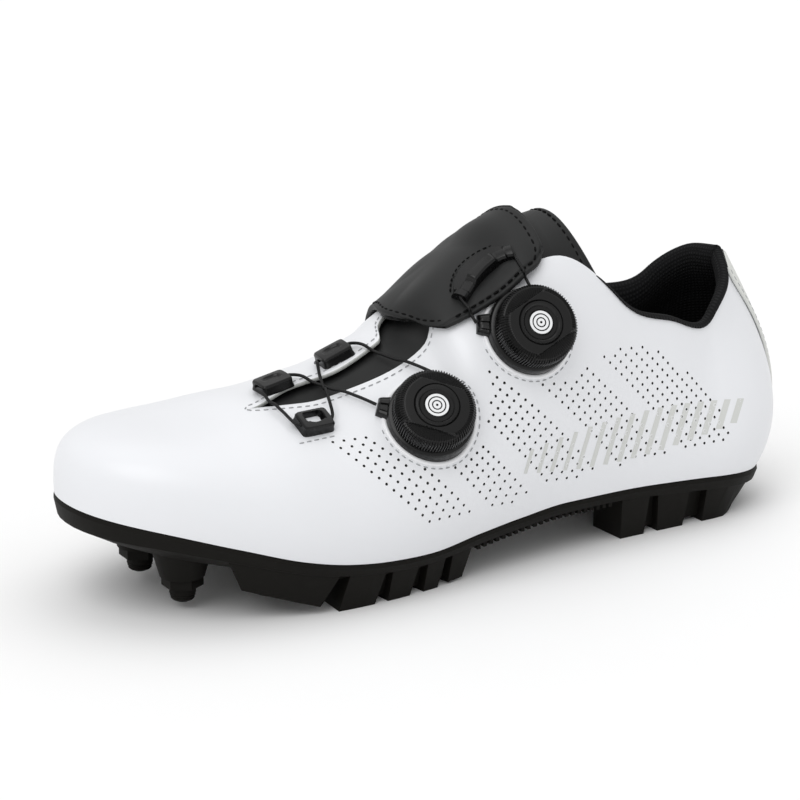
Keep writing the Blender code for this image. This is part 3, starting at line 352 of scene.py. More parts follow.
@dataclass(frozen=True)
class Last:
    """The form of the shoe: the sole's outline and the two walls that rise from it."""

    length: float = 0.290
    ball_width: float = 0.100
    instep_height: float = 0.120
    heel_height: float = 0.099
    seat_height: float = 0.021
    centre_x: float = -0.0045
    axis_y: float = 0.0043
    heel_round: float = 0.036
    toe_round: float = 0.080
    round_power: float = 2.15
    arch_pull: float = 1.38
    collar_front: float = 0.36
    slit_tip: float = 0.76
    seat_gap: float = 0.0003
    foot: tuple = (
        (0.00, 0.000, 0.330, 0.69), (0.04, 0.000, 0.334, 0.76), (0.10, 0.000, 0.338, 0.86),
        (0.18, -0.005, 0.340, 0.94), (0.27, -0.020, 0.336, 0.995), (0.36, -0.042, 0.336, 1.01),
        (0.44, -0.052, 0.352, 0.93), (0.50, -0.056, 0.374, 0.85), (0.58, -0.053, 0.420, 0.745),
        (0.64, -0.042, 0.454, 0.78), (0.70, -0.026, 0.477, 0.87), (0.76, -0.007, 0.486, 1.04),
        (0.84, 0.020, 0.488, 1.37), (0.92, 0.035, 0.486, 1.68), (1.00, 0.040, 0.480, 1.924),
    )
    lateral: tuple = (
        (0.00, 0.045, 0.000, 1.00, 0.000, 62, 33, 0.39, 0.36),
        (0.04, 0.058, -0.110, 0.915, 0.000, 75, 28, 0.38, 0.34),
        (0.10, 0.105, -0.215, 0.800, 0.000, 84, 18, 0.36, 0.33),
        (0.18, 0.185, -0.270, 0.400, 0.355, 82, 12, 0.34, 0.34),
        (0.27, 0.270, -0.290, 0.000, 0.785, 74, 10, 0.34, 0.34),
        (0.36, 0.360, -0.255, 0.000, 0.942, 55, 12, 0.36, 0.38),
        (0.44, 0.440, -0.210, 0.000, 0.870, 34, 16, 0.40, 0.40),
        (0.50, 0.520, -0.165, 0.000, 0.790, 26, 18, 0.41, 0.42),
        (0.54, 0.532, -0.175, 0.000, 0.712, 26, 19, 0.42, 0.42),
        (0.58, 0.572, -0.190, 0.000, 0.655, 27, 20, 0.43, 0.42),
        (0.64, 0.635, -0.170, 0.000, 0.603, 26, 20, 0.44, 0.42),
        (0.70, 0.700, -0.140, 0.000, 0.571, 20, 19, 0.46, 0.42),
        (0.76, 0.765, -0.100, 0.000, 0.570, 11, 17, 0.48, 0.46),
        (0.84, 0.825, -0.020, 0.000, 0.550, 3, 13, 0.50, 0.53),
        (0.92, 0.870, 0.020, 0.000, 0.540, 0, 8, 0.54, 0.62),
        (1.00, 0.888, 0.030, 0.000, 0.539, 0, 2, 0.54, 0.68),
    )
    medial: tuple = (
        (0.00, 0.045, 0.000, 1.00, 0.000, 62, 33, 0.39, 0.36),
        (0.04, 0.060, 0.120, 0.985, 0.000, 72, 28, 0.38, 0.34),
        (0.10, 0.110, 0.225, 0.867, 0.000, 82, 18, 0.36, 0.33),
        (0.18, 0.185, 0.265, 0.400, 0.330, 82, 13, 0.34, 0.34),
        (0.27, 0.270, 0.270, 0.000, 0.765, 74, 12, 0.34, 0.34),
        (0.36, 0.360, 0.235, 0.000, 0.930, 52, 10, 0.36, 0.38),
        (0.44, 0.440, 0.165, 0.000, 0.885, 20, 10, 0.40, 0.40),
        (0.50, 0.520, 0.100, 0.000, 0.780, 10, 11, 0.41, 0.42),
        (0.54, 0.562, 0.030, 0.000, 0.735, 2, 12, 0.42, 0.42),
        (0.58, 0.582, -0.070, 0.000, 0.708, -10, 13, 0.43, 0.42),
        (0.64, 0.642, -0.080, 0.000, 0.642, -12, 14, 0.44, 0.42),
        (0.70, 0.703, -0.045, 0.000, 0.602, -9, 16, 0.46, 0.42),
        (0.76, 0.765, -0.100, 0.000, 0.570, -11, 17, 0.48, 0.46),
        (0.84, 0.825, -0.020, 0.000, 0.550, -3, 13, 0.50, 0.53),
        (0.92, 0.870, 0.020, 0.000, 0.540, 0, 8, 0.54, 0.62),
        (1.00, 0.888, 0.030, 0.000, 0.539, 0, 2, 0.54, 0.68),
    )

    @staticmethod
    def column(rows: tuple, index: int, at: Array) -> Array:
        """Monotone cubic through one column of a table, with harmonic mean slopes.

        Args:
            rows: Table whose first column holds the stations.
            index: The column that is read.
            at: Stations, in an array of any shape.

        Returns:
            The column's values there.
        """
        table = np.array(rows, dtype=float)
        xs, ys = table[:, 0], table[:, index]
        step = np.diff(xs)
        slope = np.diff(ys) / step
        same = slope[:-1] * slope[1:] > 0
        before, after = 2 * step[1:] + step[:-1], step[1:] + 2 * step[:-1]
        left, right = np.where(same, slope[:-1], 1.0), np.where(same, slope[1:], 1.0)
        inner = np.where(same, (before + after) / (before / left + after / right), 0.0)
        tangent = np.concatenate([slope[:1], inner, slope[-1:]])
        at = np.clip(at, xs[0], xs[-1])
        i = np.clip(np.searchsorted(xs, at) - 1, 0, len(step) - 1)
        size = step[i]
        return hermite(ys[i], ys[i + 1], tangent[i] * size, tangent[i + 1] * size, (at - xs[i]) / size)

    @staticmethod
    def station(turn: Array) -> Array:
        """Station of a turn: half of one minus the cosine."""
        return (1 - np.cos(np.pi * np.asarray(turn, dtype=float))) / 2

    @staticmethod
    def turn(station: Array) -> Array:
        """Positive turn of a station."""
        return np.arccos(1 - 2 * np.asarray(station, dtype=float)) / np.pi

    def x(self, station: Array) -> Array:
        """X of a station."""
        return self.centre_x + self.length * (0.5 - np.asarray(station))

    def seat(self, station: Array) -> Array:
        """Height at which the upper stands on the sole."""
        return self.seat_height * self.column(self.foot, 3, station)

    def outline(self, turn: Array) -> Array:
        """Point of the sole's outline: the axis plus the half width, rounded off at heel and toe.

        Args:
            turn: Turns of any size, wrapped past the toe.

        Returns:
            Points, (..., 3).
        """
        turn = (np.asarray(turn, dtype=float) + 1) % 2 - 1
        station = self.station(turn)
        heel = np.clip(1 - station * self.length / self.heel_round, 0, 1)
        toe = np.clip(1 - (1 - station) * self.length / self.toe_round, 0, 1)
        power = self.round_power
        middle, half = (self.column(self.foot, k, station) for k in (1, 2))
        half = ((1 - heel ** power) * (1 - toe ** power)) ** (1 / power) * half
        y = self.axis_y + self.ball_width * (middle + np.sign(turn) * half)
        return np.stack([self.x(station), y, self.seat(station)], axis=-1)

    def outward(self, turn: Array) -> Array:
        """Level direction out of the outline, square to its run."""
        run = self.outline(turn + 1e-3) - self.outline(turn - 1e-3)
        return unit(np.stack([run[..., 1], -run[..., 0], np.zeros_like(run[..., 0])], axis=-1))

    def _rim(self, rows: tuple, station: Array) -> Array:
        """Rim of one wall."""
        x = self.x(self.column(rows, 1, station))
        y = self.axis_y + self.ball_width * self.column(rows, 2, station)
        z = (self.heel_height * self.column(rows, 3, station)
             + self.instep_height * self.column(rows, 4, station))
        return np.stack([x, y, z], axis=-1)

    def _handles(self, rows: tuple, turn: Array, foot: Array, out: Array) -> tuple:
        """The four Bezier points of each place of one wall."""
        station = self.station(turn)
        rim = self._rim(rows, station)
        slope, lean = (np.radians(self.column(rows, k, station))[..., None] for k in (5, 6))
        foot_pull, rim_pull = (self.column(rows, k, station)[..., None] for k in (7, 8))
        chord = np.linalg.norm(rim - foot, axis=-1, keepdims=True)
        level = unit((foot - rim) * (1, 1, 0))
        size = np.abs(turn)
        run = (self._rim(rows, self.station(np.clip(size + 1e-3, 0, 1)))
               - self._rim(rows, self.station(np.clip(size - 1e-3, 0, 1))))
        flat = np.abs(run[..., 0]) < 1e-7
        climb = run[..., 2] / np.where(flat, 1.0, run[..., 0])
        climb = np.where((station > self.collar_front) & ~flat, climb, 0.0)
        level[..., 2] = np.clip(climb, -0.8, 0.8) * level[..., 0]
        low = foot + chord * foot_pull * (np.sin(lean) * out + np.cos(lean) * UP)
        high = rim + chord * rim_pull * (np.cos(slope) * level - np.sin(slope) * UP)
        return foot, low, high, rim

    def wall(self, turn: Array, rise: Array) -> Array:
        """Outer surface of the upper: a cubic Bezier from the outline to the rim at every turn.

        Args:
            turn: Turns, negative on the lateral side.
            rise: Shares of the way from the sole to the rim, of the same shape.

        Returns:
            Points, (..., 3).
        """
        turn, rise = np.broadcast_arrays(np.asarray(turn, float), np.asarray(rise, float))
        turn = (turn + 1) % 2 - 1
        foot, out = self.outline(turn), self.outward(turn)
        v = rise[..., None]
        sides = []
        for rows in (self.lateral, self.medial):
            a, b, c, d = self._handles(rows, turn, foot, out)
            sides.append(a * (1 - v) ** 3 + 3 * b * v * (1 - v) ** 2 + 3 * c * v ** 2 * (1 - v) + d * v ** 3)
        points = np.where((turn < 0)[..., None], sides[0], sides[1])
        points[..., 2] += self.seat_gap
        return points

    def normal(self, turn: Array, rise: Array, reach: float = 2e-3) -> Array:
        """Outward normal of the wall: the cross product of its runs along turn and rise."""
        turn, rise = np.broadcast_arrays(np.asarray(turn, float), np.asarray(rise, float))
        top = np.where(rise > 1.0, rise + reach, np.minimum(rise + reach, 1.0))
        low = np.maximum(rise - reach, 0.0)
        across = self.wall(turn + reach, rise) - self.wall(turn - reach, rise)
        return unit(np.cross(across, self.wall(turn, top) - self.wall(turn, low)))

    def skin(self, turn: Array, rise: Array) -> tuple:
        """Points of the wall with their normals."""
        return self.wall(turn, rise), self.normal(turn, rise)

    def drop(self, turn: Array, length: Array) -> Array:
        """Rise at a length below the rim, from the wall's own speed there."""
        turn = np.asarray(turn, dtype=float)
        speed = np.linalg.norm(self.wall(turn, 1.0) - self.wall(turn, 0.96), axis=-1) / 0.04
        return 1.0 - length / speed

    def find(self, target: Array, flat: Callable, lateral: bool = True) -> tuple:
        """Turn and rise where the wall shows at given flat places: the nearest of a coarse
        net of places, then eight Newton steps.

        Args:
            target: Flat places, (n, 2).
            flat: Function that takes points to flat places.
            lateral: Whether the lateral wall is searched, or the medial one.

        Returns:
            Turns and rises, two arrays of n.
        """
        sign = -1.0 if lateral else 1.0
        net_turn, net_rise = np.meshgrid(np.linspace(0.02, 0.98, 97) * sign, np.linspace(0.02, 1.0, 50))
        net = flat(self.wall(net_turn, net_rise)).reshape(-1, 2)
        nearest = ((target[:, None] - net[None]) ** 2).sum(axis=-1).argmin(axis=1)
        turn, rise = net_turn.ravel()[nearest], net_rise.ravel()[nearest]
        step = 1e-4
        for _ in range(8):
            here = flat(self.wall(turn, rise))
            by_turn = (flat(self.wall(turn + step, rise)) - here) / step
            by_rise = (flat(self.wall(turn, rise + step)) - here) / step
            miss = target - here
            size = by_turn[:, 0] * by_rise[:, 1] - by_turn[:, 1] * by_rise[:, 0]
            more_turn = (miss[:, 0] * by_rise[:, 1] - miss[:, 1] * by_rise[:, 0]) / size
            more_rise = (by_turn[:, 0] * miss[:, 1] - by_turn[:, 1] * miss[:, 0]) / size
            turn = turn + np.clip(more_turn, -0.03, 0.03)
            rise = rise + np.clip(more_rise, -0.05, 0.05)
        return turn, rise


class Throat:
    """The surface over the foot: both walls with a smooth bridge over the gap between them."""

    step = 0.012

    def __init__(self, last: Last, stations: tuple = (0.33, 0.83), count: int = 140,
                 half: float = 0.078) -> None:
        """Works out the surface on a net of turns and lengths.

        Args:
            last: The shoe's form.
            stations: The range of stations that the net covers.
            count: Number of turns in the net.
            half: How far the net reaches to each side of the middle.
        """
        self.last = last
        self.turns = np.linspace(*last.turn(np.array(stations)), count)
        self.reaches = np.linspace(-half, half, 240)
        rise = np.linspace(0.15, 1, 60)
        left, right = (last.wall(side * self.turns[:, None], rise[None]) for side in (-1, 1))
        start, end = left[:, -1:], right[:, -1:]
        pull = np.linalg.norm(end - start, axis=-1, keepdims=True) * last.arch_pull
        t = np.linspace(0, 1, 41)[1:-1][None, :, None]
        leave, arrive = unit(start - left[:, -2:-1]) * pull, -unit(end - right[:, -2:-1]) * pull
        bridge = hermite(start, end, leave, arrive, t)
        line = np.concatenate([left, bridge, right[:, ::-1]], axis=1)
        length = run_length(line, 1)
        middle = length[:, line.shape[1] // 2]
        self.net = np.stack([read_off(self.reaches + zero, run, row)
                             for zero, run, row in zip(middle, length, line)])

    def place(self, turn: Array, reach: Array) -> Array:
        """Point of the surface.

        Args:
            turn: Positive turns.
            reach: Lengths from the middle, medial ones positive.

        Returns:
            Points, (..., 3).
        """
        turn, reach = np.broadcast_arrays(np.asarray(turn, float), np.asarray(reach, float))
        return sample(self.net, (turn - self.turns[0]) / (self.turns[1] - self.turns[0]),
                      (reach - self.reaches[0]) / (self.reaches[1] - self.reaches[0]))

    def frame(self, station: float, reach: float) -> tuple:
        """A place over the foot with its normal, the way to the toe and the way to the medial side."""
        turn = float(self.last.turn(station))
        step, side = self.step, self.step / 4
        forward = unit(self.place(self.last.turn(station + step), reach)
                       - self.place(self.last.turn(station - step), reach))
        medial = unit(self.place(turn, reach + side) - self.place(turn, reach - side))
        normal = facing(unit(np.cross(medial, forward)), UP)
        return self.place(turn, reach), normal, forward, facing(unit(np.cross(forward, normal)), medial)


def grid_normals(points: Array) -> Array:
    """Normals of a grid: the cross product of its runs along columns and rows."""
    return unit(np.cross(np.gradient(points, axis=1), np.gradient(points, axis=0)))


def soften(normals: Array, passes: int = 4) -> Array:
    """Normals turned upward where a fold flipped them, then averaged with their neighbours."""
    normals = np.where(normals[..., 2:] < 0, -normals, normals)
    for _ in range(passes):
        wide = np.pad(normals, ((1, 1), (1, 1), (0, 0)), mode="edge")
        beside = wide[:-2, 1:-1] + wide[2:, 1:-1] + wide[1:-1, :-2] + wide[1:-1, 2:]
        normals = unit(wide[1:-1, 1:-1] + beside / 2)
    return normals


def eased_index(share: Array, count: int) -> Array:
    """Place, with fractions, of a share in a run of eased shares."""
    return np.arccos(1 - 2 * np.clip(share, 0, 1)) / np.pi * (count - 1)


def grid_faces(rows: int, columns: int, wrap: bool) -> Array:
    """Corner numbers of a grid's faces, (rows - 1, face columns, 4)."""
    index = np.arange(rows * columns).reshape(rows, columns)
    after = np.roll(index, -1, axis=1) if wrap else index[:, 1:]
    index = index if wrap else index[:, :-1]
    return np.stack([index[:-1], after[:-1], after[1:], index[1:]], axis=-1)


def face_values(mesh: bpy.types.Mesh, kind: str) -> Array:
    """A vector of each face of a mesh, its normal or its center."""
    values = np.zeros(len(mesh.polygons) * 3, np.float32)
    mesh.polygons.foreach_get(kind, values)
    return values.reshape(-1, 3)


def mesh_piece(name: str, points: Array, faces: Array, finishes: Sequence, slots: Optional[Array] = None,
               uv: Optional[Array] = None, outward: Optional[Array] = None, hard: float = 40.0,
               weld: float = 4e-6) -> bpy.types.Object:
    """Mesh object from points and equal faces, welded and turned outward.

    Args:
        name: Name of the object.
        points: Points, (..., 3).
        faces: Corner numbers, (m, k).
        finishes: Finishes in the order of their slots.
        slots: Slot number of each face.
        uv: Flat places of every corner, m rows.
        outward: A direction that the faces' sum should follow, for open meshes. Closed ones need none.
        hard: Angle in degrees over which an edge shades sharp.
        weld: Distance under which points are made one.

    Returns:
        The object, riding on the shoe.
    """
    mesh = bpy.data.meshes.new(name)
    mesh.from_pydata(points.reshape(-1, 3).tolist(), [], faces.tolist())
    if uv is not None:
        layer = mesh.uv_layers.new(name="length")
        layer.data.foreach_set("uv", np.ascontiguousarray(uv, dtype=np.float32).ravel())
    for finish in finishes:
        mesh.materials.append(finish.material())
    if slots is not None:
        mesh.polygons.foreach_set("material_index", np.ascontiguousarray(slots, dtype=np.int32))
    work = bmesh.new()
    work.from_mesh(mesh)
    bmesh.ops.remove_doubles(work, verts=work.verts, dist=weld)
    bmesh.ops.dissolve_degenerate(work, edges=work.edges, dist=weld / 2)
    if outward is None:
        bmesh.ops.recalc_face_normals(work, faces=work.faces)
    work.to_mesh(mesh)
    work.free()
    if outward is not None and face_values(mesh, "normal").sum(axis=0) @ outward < 0:
        mesh.flip_normals()
    mesh.shade_smooth()
    mesh.set_sharp_from_angle(angle=np.radians(hard))
    made = linked(name, mesh)
    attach(made, "root")
    return made


def grid_piece(name: str, points: Array, finishes: Sequence, wrap: bool = False,
               shown: Optional[Array] = None, finish_of: Optional[Array] = None,
               **more: object) -> bpy.types.Object:
    """Mesh object from a grid of points, with a UV map of its lengths in metres.

    Args:
        name: Name of the object.
        points: Grid, (rows, columns, 3).
        finishes: Finishes in the order of their slots.
        wrap: Whether the last column joins the first.
        shown: Which faces are made, (rows - 1, face columns), or all of them.
        finish_of: Slot number of each face, or zeros.
        more: What mesh_piece also takes.

    Returns:
        The object.
    """
    rows, columns = points.shape[:2]
    quads = grid_faces(rows, columns, wrap)
    middle = points[rows // 2]
    u = run_length(np.concatenate([middle, middle[:1]]) if wrap else middle)
    v = run_length(points[:, columns // 2])
    left, right = np.meshgrid(u[:-1], v[:-1]), np.meshgrid(u[1:], v[1:])
    uv = np.stack([left[0], left[1], right[0], left[1], right[0], right[1], left[0], right[1]], axis=-1)
    keep = np.ones(quads.shape[:2], bool) if shown is None else shown
    slots = np.zeros(quads.shape[:2], int) if finish_of is None else finish_of
    return mesh_piece(name, points, quads[keep], finishes, slots[keep], uv[keep], **more)


def grid_copies(name: str, points: Array, finishes: Sequence, wrap: bool = True,
                **more: object) -> bpy.types.Object:
    """One piece of many equal grids, (grids, rows, columns, 3)."""
    count, rows, columns = points.shape[:3]
    quads = grid_faces(rows, columns, wrap).reshape(-1, 4)
    faces = quads[None] + (np.arange(count) * rows * columns)[:, None, None]
    return mesh_piece(name, points, faces.reshape(-1, 4), finishes, **more)


def capped(rings: Array) -> Array:
    """Rings with both ends drawn in to a point."""
    start, end = (np.broadcast_to(ring.mean(axis=0), (1,) + ring.shape) for ring in (rings[0], rings[-1]))
    return np.concatenate([start, rings, end])


def padded_loops(sheet: Array, normals: Array, low: Array, high: Array) -> Array:
    """Closed loops round a sheet: each row goes over its top and back under its bottom.

    Args:
        sheet: Grid of the sheet, (rows, columns, 3).
        normals: Its outward normals.
        low: Height of the under face over the sheet, (rows, columns).
        high: Height of the upper face.

    Returns:
        Grid of loops for a wrapped piece.
    """
    top, bottom = (sheet + normals * height[..., None] for height in (high, low))
    return np.concatenate([top, bottom[:, ::-1]], axis=1)


def edge_distance(sheet: Array) -> Array:
    """Least length from each place of a sheet to its four edges, measured along rows and columns."""
    u, v = run_length(sheet, 1), run_length(sheet)
    return np.minimum(np.minimum(u, u[:, -1:] - u), np.minimum(v, v[-1:] - v))


def rounded(distance: Array, radius: float) -> Array:
    """Share of full height at a distance from an edge that is rounded on a quarter circle."""
    return np.sqrt(np.clip(1 - (1 - np.clip(distance / radius, 0, 1)) ** 2, 0, 1))


def cushion(name: str, sheet: Array, normals: Array, finish: Finish, bottom: float, thickness: float,
            groove: tuple = (0.0, 0.0), sink: float = 0.0) -> bpy.types.Object:
    """Padded piece on a sheet, full and round at its edges, with the groove of a seam.

    Args:
        name: Name of the piece.
        sheet: Grid of the sheet.
        normals: Its outward normals.
        finish: Its finish.
        bottom: Height of its under face over the sheet.
        thickness: Its thickness.
        groove: Depth of the groove and its distance from the edge.
        sink: How much deeper the under face goes.

    Returns:
        The piece.
    """
    inset = edge_distance(sheet)
    middle = bottom + thickness / 2
    swell = rounded(inset, thickness / 2) * thickness / 2
    seam = groove[0] * np.exp(-((inset - groove[1]) / 0.0006) ** 2)
    loops = padded_loops(sheet, normals, middle - swell - sink, middle + swell - seam)
    return grid_piece(name, loops, [finish], wrap=True, hard=60.0)


STITCH_LEVELS = np.array([-1.0, -0.82, 0.0, 0.82, 1.0])
STITCH_GIRTHS = np.array([0.02, 0.75, 1.0, 0.75, 0.02])


def stitches(name: str, path: Array, normals: Array, finish: Finish, length: float = 0.0021,
             gap: float = 0.0011, radius: float = 0.00032, lift: float = 0.0001) -> bpy.types.Object:
    """A row of stitches: equal rounded threads laid end to end along a path, with gaps.

    Args:
        name: Name of the piece.
        path: Points of the seam, (n, 3).
        normals: Outward normals there.
        finish: The thread.
        length: Length of a stitch.
        gap: Length between stitches.
        radius: Half the thickness of the thread.
        lift: Height of the thread's middle over the surface.

    Returns:
        The piece.
    """
    run = run_length(path)
    starts = np.arange(gap / 2, run[-1] - length, length + gap)
    start, end = (read_off(starts + more, run, path) for more in (0.0, length))
    out = unit(read_off(starts + length / 2, run, normals))
    middle, along = (start + end) / 2 + out * lift, (end - start) / 2
    ring = around(circle(6), unit(np.cross(out, along)) * 1.25, out)[:, None]
    girths = radius * STITCH_GIRTHS[:, None, None]
    points = middle[:, None, None] + along[:, None, None] * STITCH_LEVELS[:, None, None] + ring * girths
    return grid_copies(name, points, [finish], hard=60.0, weld=2e-5)


def smooth_path(points: Array, step: float = 0.0006) -> Array:
    """Curve through points: cubic Hermite pieces with tangents from each point's neighbours.

    Args:
        points: Points to pass, (n, k).
        step: Length between the places of the result.

    Returns:
        Points of the curve, (m, k).
    """
    run = run_length(points[:, :3])
    tangent = np.gradient(points, run, axis=0)
    at = np.linspace(0, run[-1], max(int(run[-1] / step), 8))
    i = np.clip(np.searchsorted(run, at) - 1, 0, len(run) - 2)
    size = (run[i + 1] - run[i])[:, None]
    share = (at - run[i])[:, None] / size
    return hermite(points[i], points[i + 1], tangent[i] * size, tangent[i + 1] * size, share)


class Ground:
    """Outermost faces of some CAD nodes, to lay pieces on."""

    def __init__(self, frame: dict, *names: str) -> None:
        """Gathers the faces of the named nodes."""
        corners, faces = [], []
        for name in names:
            mesh = frame["nodes"][name].data
            faces += [tuple(i + len(corners) for i in face.vertices) for face in mesh.polygons]
            corners += [vertex.co.copy() for vertex in mesh.vertices]
        self.tree = BVHTree.FromPolygons(corners, faces)

    def height(self, place: Array, normal: Array) -> float:
        """How far along the normal the outermost face lies from a place, or -30 mm off it."""
        hit = self.tree.ray_cast(Vector(place + normal * 0.02), Vector(-normal), 0.05)
        return 0.02 - hit[3] if hit[0] is not None else -0.03


@dataclass
class Upper:
    """White outer shell of the upper, open at the collar and along the throat slit."""

    last: Last
    columns: int = 180
    rows: int = 62
    collar_wall: float = 0.0009
    throat_wall: float = 0.0015
    wall_change: tuple = (0.33, 0.42)
    cut_edge_from: float = 0.38
    edge_bulge: float = 0.22
    slit_bulge: float = 0.2

    def wall_thickness(self, turn: Array) -> Array:
        """Thin at the turned collar edge, full from the front of the collar on."""
        share = ramp(self.last.station(turn), *self.wall_change)
        return self.collar_wall + (self.throat_wall - self.collar_wall) * share

    def _joined(self, side: Array, turn: Array, rise: Array) -> Array:
        """A surface of the shell whose two rims are drawn to their mean in front of the slit.

        Args:
            side: Grid of the surface, (rows, columns, 3).
            turn: Its turns, (1, columns).
            rise: Its rises, (rows, 1).

        Returns:
            The grid with its rims joined.
        """
        rim = side[-1:]
        mean = (rim + np.roll(rim[:, ::-1], 1, axis=1)) / 2
        tip = self.last.slit_tip
        share = ramp(self.last.station(turn), tip - 0.004, tip + 0.002) * ramp(rise, 0.7, 1.0)
        return side + (mean - rim) * share[..., None]

    def build(self) -> bpy.types.Object:
        """Shell whose loops go up the outside, over the rim on a flat curve, and down the inside."""
        turn = np.linspace(-1, 1, 2 * self.columns, endpoint=False)[None]
        rise = (np.linspace(0, 1, self.rows) ** 0.95)[:, None]
        outer, normal = self.last.skin(turn, rise)
        thick = self.wall_thickness(turn)[..., None]
        inner = outer - normal * thick
        outer, inner = (self._joined(side, turn, rise) for side in (outer, inner))
        gap = np.linalg.norm(outer[-1] - self.last.wall(-turn, 1.0)[0], axis=-1)[None, :, None]
        up = unit(outer[-1:] - outer[-2:-1])
        bulge = np.minimum(thick * self.edge_bulge, gap * self.slit_bulge)
        angle = np.radians([25.0, 65.0, 115.0, 155.0])[:, None, None]
        middle = outer[-1:] - normal[-1:] * thick / 2
        rim = middle + normal[-1:] * thick / 2 * np.cos(angle) + up * bulge * np.sin(angle)
        points = np.concatenate([outer, rim, inner[::-1]])
        station = self.last.station(turn[0])
        closed = station > self.last.slit_tip
        shown = np.ones((len(points) - 1, points.shape[1]), bool)
        slots = np.zeros(shown.shape, int)
        band = slice(self.rows - 1, self.rows + len(angle))
        shown[band] = ~(closed & np.roll(closed, -1))
        slots[band] = np.where(station > self.cut_edge_from, 1, 2)
        made = grid_piece("upper_shell", points, [WHITE_LEATHER, CUT_EDGE, LINING_MESH], wrap=True,
                          shown=shown, finish_of=slots, hard=50.0, weld=8e-6)
        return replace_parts(made, "upper")

    def seam_path(self, stations: tuple, side: float, inset: float, count: int = 160) -> tuple:
        """Path at an inset below the rim, with its normals."""
        turn = side * self.last.turn(np.linspace(*stations, count))
        return self.last.skin(turn, self.last.drop(turn, inset))


@dataclass
class Lining:
    """Black mesh lining with the padded roll inside the collar.

    roll and plain are profiles of pairs: a depth under the wall and a drop below the rim.
    """

    last: Last
    columns: int = 150
    roll: tuple = (
        (-0.0003, 0.0007), (-0.0003, 0.0000), (0.0004, -0.0008), (0.0016, -0.0011), (0.0030, -0.0004),
        (0.0042, 0.0014), (0.0048, 0.0044), (0.0046, 0.0090), (0.0036, 0.0150), (0.0026, 0.0210),
    )
    plain: tuple = (
        (0.0016, 0.0004), (0.0016, 0.0007), (0.0017, 0.0010), (0.0018, 0.0015), (0.0019, 0.0025),
        (0.0020, 0.0040), (0.0021, 0.0075), (0.0022, 0.0110), (0.0022, 0.0155), (0.0022, 0.0210),
    )
    roll_ends: tuple = (0.27, 0.355)
    heel_station: float = 0.165
    heel_spread: float = 0.060
    even_spread: float = 0.05
    heel_swell: float = 0.0034
    low_depth: float = 0.0022
    layer: float = 0.0004

    def build(self) -> bpy.types.Object:
        """Lining: the wall moved in by a depth that goes from the roll at the collar to a plain
        layer at the throat, then by one depth all the way down. It is evened out at the heel."""
        turn = np.linspace(-1, 1, 2 * self.columns, endpoint=False)
        station = self.last.station(turn)
        share = (1 - ramp(station, *self.roll_ends))[:, None, None]
        fine, knots = np.linspace(0, 1, 34), np.linspace(0, 1, len(self.roll))
        roll, plain = (read_off(fine, knots, np.array(pairs)) for pairs in (self.roll, self.plain))
        pairs = share * roll + (1 - share) * plain
        swell = self.heel_swell * np.exp(-((station - self.heel_station) / self.heel_spread) ** 2)
        swell = (swell * ramp(turn, 0.0, 0.12))[:, None]
        pairs[..., 1] -= swell * (1 - ramp(fine, 0.30, 0.95)) * ramp(fine, 0.05, 0.22)
        top, depth = self.last.drop(turn[:, None], pairs[..., 1]), pairs[:, -1:, 0]
        down = np.linspace(0, 1, 30)[None, 1:]
        rise = np.concatenate([top, top[:, -1:] * (1 - down) + 0.02 * down], axis=1).T
        lower = depth + (self.low_depth - depth) * ramp(down, 0, 0.25)
        depth = np.concatenate([pairs[..., 0], lower], axis=1).T
        points, normal = self.last.skin(turn, rise)
        points = points - normal * depth[..., None]
        even = sum(np.roll(points, step, axis=1) for step in range(-5, 6)) / 11
        share = np.exp(-(turn / self.even_spread) ** 2)[None, :, None]
        points = points * (1 - share) + even * share
        closed = station > self.last.slit_tip + 0.002
        shown = np.ones((len(points) - 1, len(turn)), bool)
        shown[:2] &= ~(closed & np.roll(closed, -1))
        made = grid_piece("collar_lining", points, [LINING_MESH], wrap=True, shown=shown, outward=UP,
                          hard=80.0)
        centre = face_values(made.data, "center")
        if (face_values(made.data, "normal") * (centre - centre.mean(axis=0))).sum() > 0:
            made.data.flip_normals()
        thick = made.modifiers.new("layer", "SOLIDIFY")
        thick.thickness, thick.offset = self.layer, 1.0
        return made


